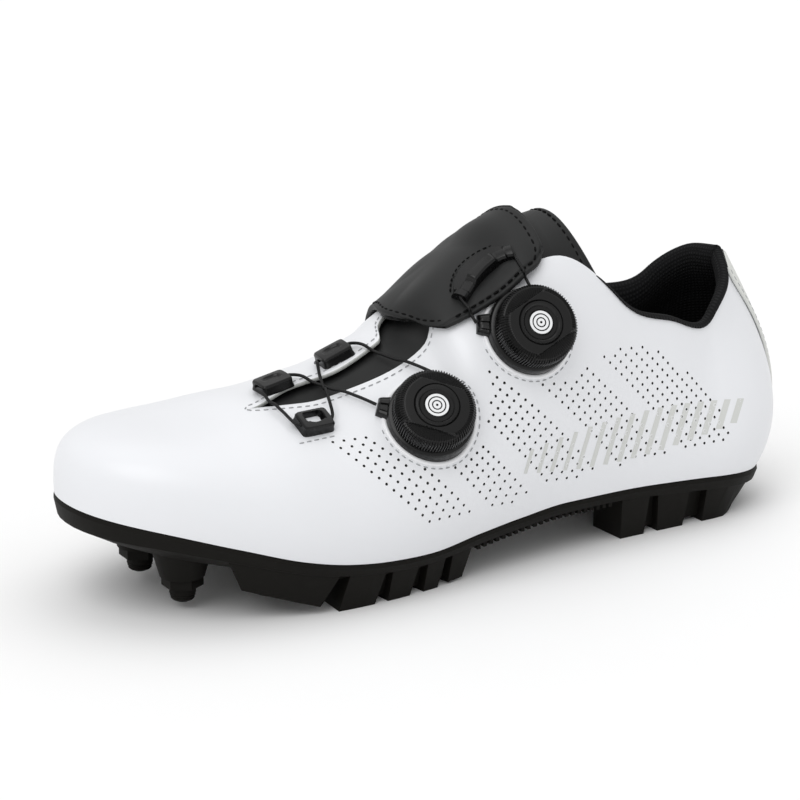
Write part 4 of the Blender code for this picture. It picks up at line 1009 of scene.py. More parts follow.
@dataclass
class Tongue:
    """Charcoal tongue under the throat, with a rounded stitched top."""

    last: Last
    throat: Throat
    thickness: float = 0.0030
    lift: float = -0.0033
    toe_turn: float = 0.700
    halves: tuple = ((0.36, 0.034), (0.44, 0.036), (0.56, 0.031), (0.68, 0.020), (0.80, 0.012))
    top_back: float = 0.0100
    side_back: float = 0.0105
    top_rise: float = 0.0020
    side_drop: float = 0.0060
    seam: tuple = (0.92, 1.76)
    groove: tuple = (0.0004, 0.0026)

    def sheet(self, along: Array, across: Array) -> Array:
        """Place on the tongue's sheet: the throat's surface up to the collar, then moved back and
        bent over the ankle with the squares of the way across.

        Args:
            along: 0 at the toe end, 1 at the front of the collar, 2 at the top edge.
            across: -1 lateral to 1 medial.

        Returns:
            Points, (..., 3).
        """
        along, across = np.broadcast_arrays(np.asarray(along, float), np.asarray(across, float))
        share = np.clip(along, 0, 1)
        turn = self.toe_turn + share * (float(self.last.turn(self.last.collar_front)) - self.toe_turn)
        half = self.last.column(self.halves, 1, self.last.station(turn))
        points = self.throat.place(turn, across * half).copy()
        past = np.clip(along - 1, 0, 1)
        size = np.abs(across)
        points[..., 0] += past * (self.top_back + self.side_back * size ** 2)
        points[..., 2] += past * (self.top_rise - (self.top_rise + self.side_drop) * size ** 2.5)
        return points

    def build(self) -> None:
        """Tongue as a cushion, and its row of stitches up one side, over the top and down."""
        along = np.concatenate([np.linspace(0, 1, 70)[:-1], eased(44)[22:] * 2])
        sheet = self.sheet(along[:, None], (eased(70) * 2 - 1)[None])
        made = cushion("tongue_body", sheet, soften(grid_normals(sheet)), CHARCOAL,
                       self.lift - self.thickness, self.thickness, self.groove)
        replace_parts(made, "tongue")
        side, top = self.seam
        low = np.linspace(1, top, 30)
        over = np.clip(np.linspace(-1, 1, 200), -side, side)
        along = np.concatenate([low, np.full(200, top), low[::-1]])
        across = np.concatenate([np.full(30, -side), over, np.full(30, side)])
        ways = [self.sheet(along + a, across + b) - self.sheet(along - a, across - b)
                for a, b in ((0.01, 0), (0, 0.01))]
        out = unit(np.cross(*ways))
        out *= np.sign(out[:, 2].sum())
        path = self.sheet(along, across) + out * (self.lift - 0.0002)
        stitches("tongue_stitches", path, out, BLACK_THREAD, radius=0.0004)


@dataclass
class Strap:
    """Charcoal instep strap, sewn down on the medial side and pulled by the rear lace."""

    last: Last
    throat: Throat
    stations: tuple = (0.374, 0.530)
    lateral_reach: float = 0.0290
    medial_reach: float = 0.0620
    taper: float = 0.20
    end_front: float = 0.042
    end_rear: float = 0.005
    end_slant: float = 0.12
    corner_power: float = 5.0
    clearance: float = 0.0009
    thickness: float = 0.0024
    pull: float = 0.9
    fill: float = 0.0014
    seam: tuple = (0.052, 0.028, 0.03)
    groove: tuple = (0.00045, 0.0022)

    def sheet(self, across: Array, along: Array) -> Array:
        """Place on the strap's sheet: across its width from rear to front, and along it from the
        lateral end to the medial seam. The end is a superellipse with a slant.

        Args:
            across: 0 at the rear edge, 1 at the front edge.
            along: 0 at the lateral end, 1 at the medial seam.

        Returns:
            Points, (..., 3).
        """
        across, along = np.broadcast_arrays(np.asarray(across, float), np.asarray(along, float))
        power = self.corner_power
        bend = np.clip(1 - np.abs(2 * across - 1) ** power, 0, 1) ** (1 / power)
        lateral = -self.lateral_reach * (0.76 + 0.24 * bend) * (1 - self.end_slant * across)
        reach = lateral + along * (self.medial_reach * (0.95 + 0.05 * bend) - lateral)
        to_end = np.maximum(-reach / self.lateral_reach, 0) ** 1.6
        to_seam = np.maximum(reach / self.medial_reach, 0) * self.taper / 2
        rear = self.stations[0] + self.end_rear * to_end
        front = self.stations[1] - self.end_front * to_end
        station = rear + (front - rear) * (to_seam + across * (1 - 2 * to_seam))
        return self.throat.place(self.last.turn(station), reach)

    def net(self, rows: int = 64, columns: int = 110) -> tuple:
        """Sheet on an eased grid, pulled straight across its width where it would sag, with normals."""
        across, along = eased(rows)[:, None], eased(columns)[None]
        sheet = self.sheet(across, along)
        normal = soften(grid_normals(sheet))
        chord = sheet[:1] * (1 - across[..., None]) + sheet[-1:] * across[..., None]
        sag = np.maximum(((chord - sheet) * normal).sum(axis=-1), 0.0)
        fill = self.fill * np.exp(-((across - 0.23) / 0.12) ** 2)
        sheet = sheet + normal * (self.pull * sag + fill)[..., None]
        return sheet, soften(grid_normals(sheet), 2)

    def build(self) -> None:
        """Strap as a cushion, and its seam along the front, the lateral end and the rear."""
        sheet, normal = self.net()
        made = cushion("instep_strap_body", sheet, normal, CHARCOAL, self.clearance, self.thickness,
                       self.groove)
        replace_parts(made, "instep_strap")
        edge, end, corner = self.seam
        shares = np.linspace(0, 1, 120)
        over = (edge + (1 - 2 * edge) * shares)[8:-8]
        down = end + corner + shares * (1 - 2 * end - corner)
        across = np.concatenate([np.full(120, edge), over, np.full(120, 1 - edge)])
        along = np.concatenate([down[::-1], np.full(len(over), end), down])
        row, column = eased_index(across, len(sheet)), eased_index(along, sheet.shape[1])
        out = unit(sample(normal, row, column))
        path = sample(sheet, row, column) + out * (self.clearance + self.thickness - 0.00025)
        stitches("strap_stitches", path, out, BLACK_THREAD, length=0.0024, gap=0.0010, radius=0.00042)


@dataclass
class LaceGuide:
    """Moulded block that turns a lace, with an oval dimple or a D window in its top."""

    name: str
    where: tuple
    opening: int
    window: bool
    throat: Throat
    ground: Ground
    length: float = 0.0125
    width: float = 0.0095
    floor: float = 0.0010
    slot_height: float = 0.0020
    roof: float = 0.0004
    back: float = 0.0040
    clearance: float = 0.0003
    run_out: float = 0.0016
    squareness: float = 9.0
    window_oval: tuple = (0.31, 0.34)
    window_shift: float = 0.0012
    dimple_oval: tuple = (0.30, 0.24)
    recess: float = 0.0007

    def seat(self) -> tuple:
        """Place of the block with its normal, its forward and medial ways and its lift."""
        here, normal, forward, medial = self.throat.frame(*self.where)
        lift = self.clearance + max(
            self.ground.height(here + forward * f + medial * m, normal)
            for f in np.linspace(-0.5, 0.5, 5) * self.length for m in np.linspace(-0.5, 0.5, 5) * self.width)
        return here, normal, forward, medial, lift

    def lace_ends(self) -> list:
        """Where the lace enters and leaves, rear end first, each with the normal."""
        here, normal, forward, medial, lift = self.seat()
        height = lift + self.floor + self.slot_height / 2
        inward = medial * self.opening * (self.back - self.width / 2 + 0.0014)
        reach = self.length / 2 + self.run_out
        return [(here + forward * way * reach + inward + normal * height, normal) for way in (-1, 1)]

    def build(self) -> None:
        """Block of rings: superellipses of a high power whose height is the crown less the recess."""
        here, normal, forward, medial, lift = self.seat()
        ring = np.concatenate([np.linspace(0, 0.9, 26), [0.94, 0.975, 1.0]])[:, None]
        angle = circle(72)
        x, y = (ring * size / 2 * np.sign(way) * np.abs(way) ** (2 / self.squareness)
                for size, way in ((self.length, np.cos(angle)), (self.width, np.sin(angle))))
        top = self.floor + self.slot_height + self.roof
        crown = top + 0.0003 - 0.0004 * (2 * y / self.width) ** 2 - 0.0007 * ramp(ring, 0.9, 1.0) ** 2
        aim = y * self.opening
        long, wide = self.window_oval if self.window else self.dimple_oval
        shift = self.window_shift if self.window else 0.0
        oval = np.hypot(x / (long * self.length), (aim - shift) / (wide * self.width))
        if self.window:
            cut, depth = ramp(1.12 - oval, 0, 0.22) * ramp(0.0034 - aim, 0, 0.0005), top - self.recess
        else:
            cut, depth = ramp(1.1 - oval, 0, 0.30), self.recess
        skirt = np.array([(1.0, top - 0.0012), (1.0, 0.0011), (1.05, 0.0), (1.05, -0.0006)])
        x, y = (np.concatenate([flat, flat[-1:] * skirt[:, :1]]) for flat in (x, y))
        z = np.concatenate([crown - depth * cut, np.repeat(skirt[:, 1:], len(angle), axis=1)])
        points = here + normal * (lift + z)[..., None] + forward * x[..., None] + medial * y[..., None]
        slots = np.zeros(z.shape, int)
        if self.window:
            slots[:len(cut) - 1] = (cut[1:] > 0.93) & (np.roll(cut, -1, axis=1)[1:] > 0.93)
        made = grid_piece(self.name + "_block", capped(points)[1:], [SATIN_BLACK, WHITE_LEATHER], wrap=True,
                          finish_of=slots, hard=38.0)
        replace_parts(made, self.name)


@dataclass
class StrapGuide:
    """Curved guide sewn on the strap, with a crescent foot and a raised tunnel for the rear lace.

    section holds for each corner its way across, its share of the foot's width, its height,
    its share of the top's height and what an end block adds to it.
    """

    throat: Throat
    ground: Ground
    route: tuple = ((0.475, -0.0185), (0.458, -0.0150), (0.440, -0.0135), (0.422, -0.0145), (0.408, -0.0175))
    width: float = 0.0080
    back: float = 0.0040
    floor: float = 0.0010
    slot_height: float = 0.0020
    clearance: float = 0.0007
    foot: float = 0.0052
    tall: float = 0.0030
    block_more: float = 0.0008
    block_ends: tuple = (0.08, 0.11)
    hood_more: float = 0.0017
    hood_ends: tuple = (0.24, 0.30)
    seam_gap: float = 0.0016
    section: tuple = (
        (-0.0036, 0, -0.0004, 0, 0), (-0.0036, 0, -0.0008, 1, 0), (-0.0030, 0, 0.0, 1, 0),
        (-0.0012, 0, 0.0002, 1, 0), (0.0004, 0, -0.0002, 1, 0), (0.0012, 0, 0.0014, 0, 0.0018),
        (0.0012, 1, 0.0010, 0, 0), (0.0015, 1, -0.0004, 0, 0),
    )

    def seats(self) -> Array:
        """Place, normal and way across at each point of the route on the strap, (n, 9)."""
        frames = [self.throat.frame(*where) for where in self.route]
        rows = []
        for i, (here, normal, _, medial) in enumerate(frames):
            run = frames[min(i + 1, len(frames) - 1)][0] - frames[max(i - 1, 0)][0]
            across = facing(unit(np.cross(normal, unit(run))), medial)
            lift = self.clearance + max(self.ground.height(here + across * m, normal)
                                        for m in np.linspace(-0.5, 0.5, 5) * self.width)
            rows.append(np.concatenate([here + normal * lift, normal, across]))
        return np.array(rows)

    def lace_stops(self) -> list:
        """Route of the rear lace through the guide, each point with its normal."""
        places, normals, sides = np.split(self.seats(), 3, axis=1)
        inward = -sides * (self.back - self.width / 2 + 0.0014)
        return list(zip(places + inward + normals * (self.floor + self.slot_height / 2), normals))

    def build(self) -> None:
        """Foot, tunnel and end blocks on one section whose height grows over the tunnel, and the
        arc of stitches beside it."""
        places, normals, sides = np.split(smooth_path(self.seats(), 0.0004), 3, axis=1)
        normals, sides = unit(normals), unit(sides)
        share = np.linspace(0, 1, len(places))[:, None]
        foot = self.foot * np.sin(np.pi * np.clip(share, 0.06, 0.94)) ** 0.8
        inner = np.minimum(share, 1 - share)
        block, hood = 1 - ramp(inner, *self.block_ends), ramp(inner, *self.hood_ends)
        side, of_foot, height, of_top, of_block = np.array(self.section).T
        offset = side + of_foot * foot
        tall = self.tall + self.block_more * block + self.hood_more * hood
        rise = height + of_top * tall + of_block * block
        points = places[:, None] + sides[:, None] * offset[..., None] + normals[:, None] * rise[..., None]
        slots = np.zeros((len(points) + 1, len(self.section)), int)
        slots[1:-1, 2:4] = hood[1:] > 0.5
        made = grid_piece("strap_guide_arc", capped(points), [SATIN_BLACK, GLOSS_BLACK], wrap=True,
                          finish_of=slots, hard=30.0)
        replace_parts(made, "strap_guide")
        path = places + sides * (side[5] + foot + self.seam_gap) - normals * 0.0003
        stitches("guide_stitches", path[4:-4], normals[4:-4], BLACK_THREAD, length=0.0016, gap=0.0008,
                 radius=0.0003)


@dataclass
class Dial:
    """Lace dial: a base on the upper, a spout for the lace and a knurled knob over them."""

    name: str
    last: Last
    where: tuple
    spout_turn: float
    inlet_turn: float
    facet_turn: float
    base_radius: float = 0.0160
    base_height: float = 0.0034
    knob_radius: float = 0.0150
    knob_height: float = 0.0088
    ring_radius: float = 0.0074
    badge_radius: float = 0.0043
    facet_reach: float = 0.0092
    spout_reach: float = 0.0195
    spout_width: float = 0.0100
    spout_height: float = 0.0030
    teeth: int = 90
    tooth_depth: float = 0.0006
    dome: float = 0.0007
    segment_drop: float = 0.0012
    segment_rib: float = 0.0003
    rim_rib: float = 0.0004
    welt_gap: float = 0.0007
    welt_size: tuple = (0.0009, 0.0007)
    seam_gap: float = 0.0023

    def __post_init__(self) -> None:
        """Works out the dial's own axes on the lateral wall."""
        turn, rise = -self.where[0], self.where[1]
        step = 0.01
        self.here = self.last.wall(turn, rise)
        self.normal = self.last.normal(turn, rise, step)
        self.up = unit(self.last.wall(turn, rise + step) - self.last.wall(turn, rise - step))
        self.rear = facing(unit(np.cross(self.normal, self.up)), AFT)
        inner = self.on_wall(self.spokes(np.arange(32) * 11.25) * self.base_radius * 0.5)
        self.top = float((inner - self.here).dot(self.normal).max()) + self.base_height

    def spokes(self, degrees: Array) -> Array:
        """Directions in the dial's plane, 0 to the heel and 90 up."""
        angle = np.radians(np.asarray(degrees, dtype=float))[..., None]
        return np.cos(angle) * self.rear + np.sin(angle) * self.up

    def find(self, offsets: Array) -> tuple:
        """Turns and rises of the upper under offsets in the dial's plane."""
        axes = np.stack([self.rear, self.up], axis=-1)
        return self.last.find(offsets @ axes, lambda points: (points - self.here) @ axes)

    def on_wall(self, offsets: Array) -> Array:
        """Points of the upper straight under offsets in the dial's plane."""
        return self.last.wall(*self.find(offsets))

    def ports(self, ground: Ground) -> list:
        """Where its lace leaves the spout and where it goes back under the knob, with the normal."""
        found = []
        for degrees, reach in ((self.spout_turn, self.spout_reach), (self.inlet_turn, self.base_radius)):
            place = self.here + self.spokes(degrees) * (reach + 0.0006)
            found.append((place + self.normal * (ground.height(place, self.normal) + 0.0023), self.normal))
        return found

    def build(self) -> None:
        """Base, spout, knob, the white welt round them and its stitches."""
        self._build_base()
        self._build_spout()
        self._build_knob()
        self._build_welt()

    def _build_base(self) -> None:
        """Base of rings from the upper to its top."""
        spokes = self.spokes(np.arange(96) * 3.75)
        foot = self.on_wall(spokes * self.base_radius) - self.normal * 0.0006
        edge = ((self.base_radius, -0.0012), (self.base_radius - 0.0003, -0.0004),
                (self.base_radius - 0.0010, 0.0), (self.base_radius * 0.5, 0.0), (1e-7, 0.0))
        rings = [np.broadcast_to(foot.mean(axis=0), foot.shape), foot]
        rings += [self.here + spokes * radius + self.normal * (self.top + height) for radius, height in edge]
        made = grid_piece(self.name + "_foot", np.stack(rings), [GLOSS_BLACK], wrap=True, hard=35.0)
        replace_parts(made, self.name + "_base")

    def _build_spout(self) -> None:
        """Ribbed housing beside the base, narrower and lower toward the lace."""
        along, side = np.linspace(0, 1, 15)[:, None], np.linspace(-1, 1, 33)[None]
        out = self.spokes(self.spout_turn)
        across = np.cross(self.normal, out)
        start = self.base_radius * 0.88
        reach = start + (self.spout_reach - start) * np.minimum(along * 1.1, 1)
        half = self.spout_width * (0.5 - 0.14 * along)
        offset = out * reach[..., None] + across * (side * half)[..., None]
        wall = self.on_wall(offset.reshape(-1, 3)).reshape(offset.shape)
        ribs = 0.0007 * (np.cos(side * 3.0 * np.pi) > 0.1) * ramp(along, 0.05, 0.3)
        arch = np.sqrt(np.clip(1 - np.abs(side) ** 5, 0, 1)) * np.clip(1.25 * (1 - along ** 6), 0, 1)
        high = 0.0004 + (self.spout_height - ribs) * arch
        loops = padded_loops(wall, self.normal, np.full(high.shape, -0.0008), high)
        grid_piece(self.name + "_spout", capped(loops), [GLOSS_BLACK], wrap=True, hard=35.0)

    def _build_knob(self) -> None:
        """Knob turned about the dial's normal. Its rim has square teeth, its face is cut by two
        straight steps to lower segments with fine spokes, and a ring stands round the badge."""
        angle = np.arange(self.teeth * 4) * 360.0 / (self.teeth * 4)
        tooth = np.tile([0.0, 1.0, 1.0, 0.0], self.teeth)
        radius, height, ring, badge = self.knob_radius, self.knob_height, self.ring_radius, self.badge_radius
        side = [(radius - 0.0012, 0.0), (radius - 0.0006, 0.0006), (radius, 0.0012),
                (radius, height - 0.0032), (radius - 0.0002, height - 0.0024),
                (radius - 0.0008, height - 0.0016)]
        face = [(r, height - 0.0004) for r in np.linspace(radius - 0.0016, ring + 0.0011, 22)]
        crown = [(ring + 0.0008, height - 0.0002), (ring + 0.0004, height + 0.0005),
                 (ring - 0.0004, height + 0.0006), (ring - 0.0009, height + 0.0002),
                 (ring - 0.0013, height - 0.0003), (badge + 0.0006, height - 0.0003),
                 (badge + 0.0002, height + 0.0001)]
        middle = [(r, height + 0.0001) for r in np.linspace(badge, 1e-7, 10)]
        profile = np.array(side + face + crown + middle)
        cut = np.zeros((len(profile), 1))
        cut[2:len(side)] = self.tooth_depth
        radii = profile[:, :1] - cut * tooth
        heights = np.repeat(profile[:, 1:], len(angle), axis=1)
        flat = slice(len(side), len(side) + len(face))
        across = np.abs(np.cos(np.radians(angle - self.facet_turn)) * radii[flat])
        low = ramp(across, self.facet_reach - 0.0002, self.facet_reach + 0.0002)
        dome = self.dome * (1 - (radii[flat] / radius) ** 2)
        edge = ramp(radii[flat], radius - 0.0034, radius - 0.0028)
        segment = low * (self.segment_drop - self.segment_rib * tooth)
        heights[flat] += dome - segment - (1 - low) * edge * self.rim_rib * tooth
        centre = self.here + self.normal * (self.top + 0.0003)
        points = centre + self.spokes(angle) * radii[..., None] + self.normal * heights[..., None]
        slots = np.zeros(radii.shape, int)
        slots[-9:-1] = (np.arange(8) % 3 < 2)[:, None]
        base = np.broadcast_to(centre, points[:1].shape)
        made = grid_piece(self.name + "_cap", np.concatenate([base, points]), [GLOSS_BLACK, PALE_PRINT],
                          wrap=True, finish_of=slots, hard=32.0)
        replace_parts(made, self.name + "_knob")

    def _build_welt(self) -> None:
        """Soft white welt that hugs the base, and the dashed seam outside it."""
        spokes = self.spokes(np.arange(144) * 2.5)
        route, normal = self.last.skin(*self.find(spokes * (self.base_radius + self.welt_gap)))
        wide, high = self.welt_size
        ways = around(circle(12), square_to(normal, spokes) * wide, normal * high)
        rings = (route[:, None] + ways).swapaxes(0, 1)
        grid_piece(self.name + "_welt", np.concatenate([rings, rings[:1]]), [WELT_LEATHER], wrap=True,
                   hard=80.0)
        arc = self.spokes(np.linspace(self.spout_turn + 28, self.spout_turn + 258, 150))
        path, normal = self.last.skin(*self.find(arc * (self.base_radius + self.seam_gap)))
        stitches(self.name + "_seam", path, normal, GREY_THREAD, length=0.0018, gap=0.0012, radius=0.00022)


@dataclass
class Lace:
    """Coated wire lace that runs from a dial's spout through its guides and back."""

    name: str
    ground: Ground
    stops: list
    lifts: tuple
    radius: float = 0.0006

    def route(self) -> tuple:
        """Points and normals of the lace: straight pulls kept off the surface, then smoothed."""
        points, normals = [self.stops[0][0]], [self.stops[0][1]]
        for (start, n_start), (end, n_end), lift in zip(self.stops, self.stops[1:], self.lifts):
            normal = unit(n_start + n_end)
            for share in np.linspace(0, 1, 9)[1:-1] if lift else ():
                place = start * (1 - share) + end * share
                points.append(place + normal * max(self.ground.height(place, normal) + lift, 0.0))
                normals.append(normal)
            points.append(end)
            normals.append(n_end)
        both = smooth_path(np.concatenate([np.array(points), np.array(normals)], axis=1), 0.0007)
        return both[:, :3], unit(both[:, 3:])

    def build(self) -> None:
        """Round tube along the route, put in place of the lace's CAD node."""
        path, normal = self.route()
        way = unit(np.gradient(path, axis=0))
        out = square_to(way, normal)
        rings = path[:, None] + around(circle(12), np.cross(way, out), out) * self.radius
        made = grid_piece(self.name + "_wire", capped(rings), [WIRE], wrap=True, hard=80.0)
        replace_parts(made, self.name)


@dataclass
class HeelStrip:
    """Pale grey strip that follows the back of the heel."""

    last: Last
    half: float = 0.0095
    rises: tuple = (0.06, 0.985)
    thickness: float = 0.0010
    clearance: float = 0.0005
    seam_inset: float = 0.0013

    def surface(self, across: Array, rise: Array) -> tuple:
        """Points and normals at lengths across from the middle of the heel.

        Args:
            across: Lengths, negative to the lateral side.
            rise: Rises, of the same shape.

        Returns:
            Points and normals.
        """
        turns = np.linspace(-0.22, 0.22, 121)
        run = run_length(self.last.wall(turns[None], rise[:, :1]), 1)
        run -= run[:, len(turns) // 2, None]
        turn = np.stack([np.interp(a, r, turns) for a, r in zip(across, run)])
        return self.last.skin(turn, rise)

    def build(self) -> None:
        """Strip as a thin cushion, with a seam along each side."""
        rise = np.broadcast_to(np.linspace(*self.rises, 60)[:, None], (60, 26))
        across = np.broadcast_to((eased(26) * 2 - 1) * self.half, (60, 26))
        made = cushion("heel_strip_band", *self.surface(across, rise), HEEL_GREY, self.clearance,
                       self.thickness, sink=0.0003)
        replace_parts(made, "heel_strip")
        rise = np.linspace(self.rises[0] + 0.02, self.rises[1] - 0.02, 90)[:, None]
        for side, name in ((-1, "lateral"), (1, "medial")):
            path, out = (found[:, 0] for found in self.surface(
                np.full(rise.shape, side * (self.half - self.seam_inset)), rise))
            path = path + out * (self.clearance + self.thickness - 0.0001)
            stitches(f"heel_seam_{name}", path, out, GREY_THREAD, radius=0.00022)


@dataclass
class Footbed:
    """Thin cloth footbed inside the shoe, cupped at its edge."""

    last: Last
    inset: float = 0.0036
    bottom: float = 0.0006
    thickness: float = 0.0040
    cup: float = 0.0016

    def build(self) -> None:
        """Footbed of strips from heel to toe: the outline moved in, raised to a cup at the edge by
        the sixth power of the way across."""
        turn, side = np.linspace(0, 1, 120), (eased(40) * 2 - 1)[None]
        left, right = (self.last.outline(way) - self.last.outward(way) * self.inset for way in (-turn, turn))
        share = (side[..., None] + 1) / 2
        flat = left[:, None] * (1 - share) + right[:, None] * share
        flat[..., 2] = self.last.seat(0.5 - (flat[..., 0] - self.last.centre_x) / self.last.length)
        inset, half = edge_distance(flat), self.thickness / 2
        high = self.bottom + half + half * rounded(inset, 0.0016) + self.cup * np.abs(side) ** 6
        low = self.bottom + half * (1 - rounded(inset, 0.0012))
        made = grid_piece("footbed", padded_loops(flat, UP, low, high), [FOOTBED_CLOTH], wrap=True, hard=70.0)
        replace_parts(made, "insole")


@dataclass
class ToeStud:
    """Screwed stud under the toe: a six-sided collar over a ridged round tip.

    rings holds heights over the tip and shares of the radius, those of the tip first.
    """

    name: str
    place: tuple
    tip_height: float = 0.0030
    radius: float = 0.0050
    collar: float = 0.0076
    tip_rings: int = 10
    rings: tuple = (
        (0.0, 0.0), (0.0002, 0.50), (0.0008, 0.74), (0.0014, 0.86), (0.0019, 0.82), (0.0024, 0.92),
        (0.0029, 0.87), (0.0034, 0.97), (0.0039, 0.95), (0.0061, 1.0), (0.0061, 1.0), (0.0066, 1.0),
        (0.0090, 1.0), (0.0095, 0.97), (0.0095, 0.0),
    )

    def build(self) -> None:
        """Stud of rings turned about the upright. The collar's radius follows a hexagon."""
        angle = circle(72)
        hexagon = np.cos(np.pi / 6) / np.cos((angle + np.pi / 6) % (np.pi / 3) - np.pi / 6)
        height, share = np.array(self.rings).T[..., None]
        tip = (np.arange(len(height)) < self.tip_rings)[:, None]
        radius = share * np.where(tip, self.radius, self.collar * hexagon)
        spoke = around(angle, AFT, np.cross(UP, AFT))
        points = np.array([*self.place, self.tip_height]) + spoke * radius[..., None] + UP * height[..., None]
        made = grid_piece(self.name + "_screw", points, [RUBBER], wrap=True, hard=30.0)
        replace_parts(made, self.name)


@dataclass(frozen=True)
class PinholeBand:
    """A slanted band of pinholes, measured in the photograph's frame.

    left and right hold the band's first and last column at the top row, the middle row and
    the bottom row. first and last number those columns, and spans gives the columns that
    each row has.
    """

    left: tuple
    right: tuple
    first: int
    last: int
    middle: int
    bottom: int
    spans: tuple

    def places(self) -> Array:
        """Flat places of the holes: a parabola down each side, and equal steps between."""
        knots = (0.0, float(self.middle), float(self.bottom))
        found = []
        for row, (start, end) in enumerate(self.spans):
            weights = np.array([np.prod([(row - other) / (knot - other) for other in knots if other != knot])
                                for knot in knots])
            left, right = weights @ np.array(self.left), weights @ np.array(self.right)
            share = (np.arange(start, end + 1) - self.first)[:, None] / (self.last - self.first)
            found.append(left * (1 - share) + right * share)
        return np.concatenate(found)


@dataclass
class Pinholes:
    """Vent holes punched through both walls of the upper."""

    last: Last
    view: View
    radius: float = 0.00056
    profile: tuple = ((0.05, 0.00002), (0.98, 0.00002), (1.0, 0.00007), (1.25, 0.00008), (1.5, -0.00004))
    bands: tuple = (
        PinholeBand(
            ((332.8, 442.2), (386.5, 484.2), (429.5, 521.4)),
            ((377.1, 436.2), (432.0, 475.0), (469.3, 511.4)),
            -3, 1, 7, 13, ((-3, 0),) * 6 + ((-3, 1),) * 8),
        PinholeBand(
            ((437.1, 450.8), (467.5, 479.5), (492.2, 504.8)),
            ((483.1, 446.9), (509.5, 473.5), (531.8, 498.9)),
            -4, 0, 5, 9, ((0, 0), (-1, 0), (-2, 0)) + ((-4, 0),) * 6 + ((-4, -2),)),
        PinholeBand(
            ((431.2, 377.6), (495.1, 427.1), (546.6, 480.3)),
            ((489.4, 371.9), (550.8, 422.4), (596.8, 474.3)),
            -5, 0, 9, 18, ((0, 0), (0, 0), (-1, 0), (-1, 0), (-2, 0), (-3, 0), (-3, 0), (-4, 0))
            + ((-5, 0),) * 10 + ((-5, -2),)),
        PinholeBand(
            ((528.8, 373.1), (580.1, 419.3), (620.1, 464.8)),
            ((587.1, 368.6), (631.9, 414.3), (668.6, 457.8)),
            -5, 0, 8, 16, ((0, 0), (-1, 0)) + ((-5, 0),) * 14 + ((-5, -5),)),
        PinholeBand(
            ((598.2, 350.9), (648.2, 402.7), (685.5, 446.5)),
            ((664.4, 345.3), (705.6, 394.4), (741.9, 436.3)),
            -5, 1, 9, 17, ((-3, -1),) + ((-5, 0),) * 4 + ((-5, 1),) * 8 + ((-5, 0),) * 4 + ((-5, -1),)),
    )

    def build(self) -> None:
        """Holes as small cups: a black floor in a thin pressed lip, on both walls alike."""
        places = np.concatenate([band.places() for band in self.bands])
        turn, rise = self.last.find(places, self.view.flat)
        size, lift = np.array(self.profile).T[..., None, None]
        for side, name in ((1, "lateral"), (-1, "medial")):
            here, normal = self.last.skin(side * turn, rise)
            one = unit(np.cross(normal, UP))
            spoke = around(circle(10), one, np.cross(normal, one))[:, None]
            points = here[:, None, None] + spoke * size * self.radius + normal[:, None, None] * lift
            slots = np.tile(np.repeat([0, 0, 1, 1], 10), len(here))
            grid_copies(f"pinholes_{name}", points, [HOLE_BLACK, WELT_LEATHER], slots=slots,
                        outward=np.array([0.0, -side, 0.0]), hard=80.0)
        LOG.info("%d pinholes on each wall", len(turn))


@dataclass
class GreyHatch:
    """Generic hatch of slanted light grey bars printed on the lateral quarter."""

    last: Last
    view: View
    start: tuple = (522.0, 463.0)
    end: tuple = (744.0, 409.0)
    bars: int = 16
    slant: float = 0.30

    def build(self) -> None:
        """Bars on the line from start to end: each is a strip of places found on the wall, with a
        height that swells and falls like a sine."""
        share = ((np.arange(self.bars) + 0.5) / self.bars)[:, None, None]
        middle = np.array(self.start) + share * (np.array(self.end) - np.array(self.start))
        tall, wide = 11.0 + 13.0 * np.sin(np.pi * share), 3.4 + 3.2 * share
        along, across = np.meshgrid(np.linspace(-1, 1, 12), (-1.0, 1.0), indexing="ij")
        x = middle[..., :1] + along * tall * self.slant + across * wide / 2
        flat = np.stack([x, middle[..., 1:] - along * tall], axis=-1)
        points, normal = self.last.skin(*self.last.find(flat.reshape(-1, 2), self.view.flat))
        points = (points + normal * 0.00003).reshape(*flat.shape[:3], 3)
        grid_copies("grey_hatch", points, [GREY_PRINT], wrap=False, outward=np.array([0.0, -1.0, 0.0]),
                    hard=80.0)


@dataclass
class Studio:
    """Pale floor, even pale surroundings and two far, wide and soft lamps."""

    key: float = 1.05
    fill: float = 0.45
    surround: float = 0.74
    aim: tuple = (0.0, 0.02, 0.05)

    def lamp(self, name: str, place: tuple, spread: float, power: float) -> None:
        """Far, wide and soft lamp that faces the shoe, so that the whole floor is lit alike."""
        data = bpy.data.lights.new(name, "SUN")
        data.angle, data.energy = np.radians(spread), power
        linked(name, data, place, Vector(self.aim) - Vector(place))

    def build(self) -> None:
        """Floor, lamps and surroundings."""
        world = bpy.data.worlds.new("studio")
        world.use_nodes = True
        back = world.node_tree.nodes["Background"]
        back.inputs["Color"].default_value = (1.0, 1.0, 1.0, 1.0)
        back.inputs["Strength"].default_value = self.surround
        bpy.context.scene.world = world
        mesh = bpy.data.meshes.new("floor")
        mesh.from_pydata([(-4, -4, 0), (4, -4, 0), (4, 4, 0), (-4, 4, 0)], [], [(0, 1, 2, 3)])
        mesh.materials.append(FLOOR.material())
        floor = linked("floor", mesh)
        self.lamp("key_lamp", (-0.75, -0.45, 1.25), 45.0, self.key)
        self.lamp("top_lamp", (0.35, 0.35, 1.3), 60.0, self.fill)
        bpy.context.scene.view_settings.view_transform = "Standard"


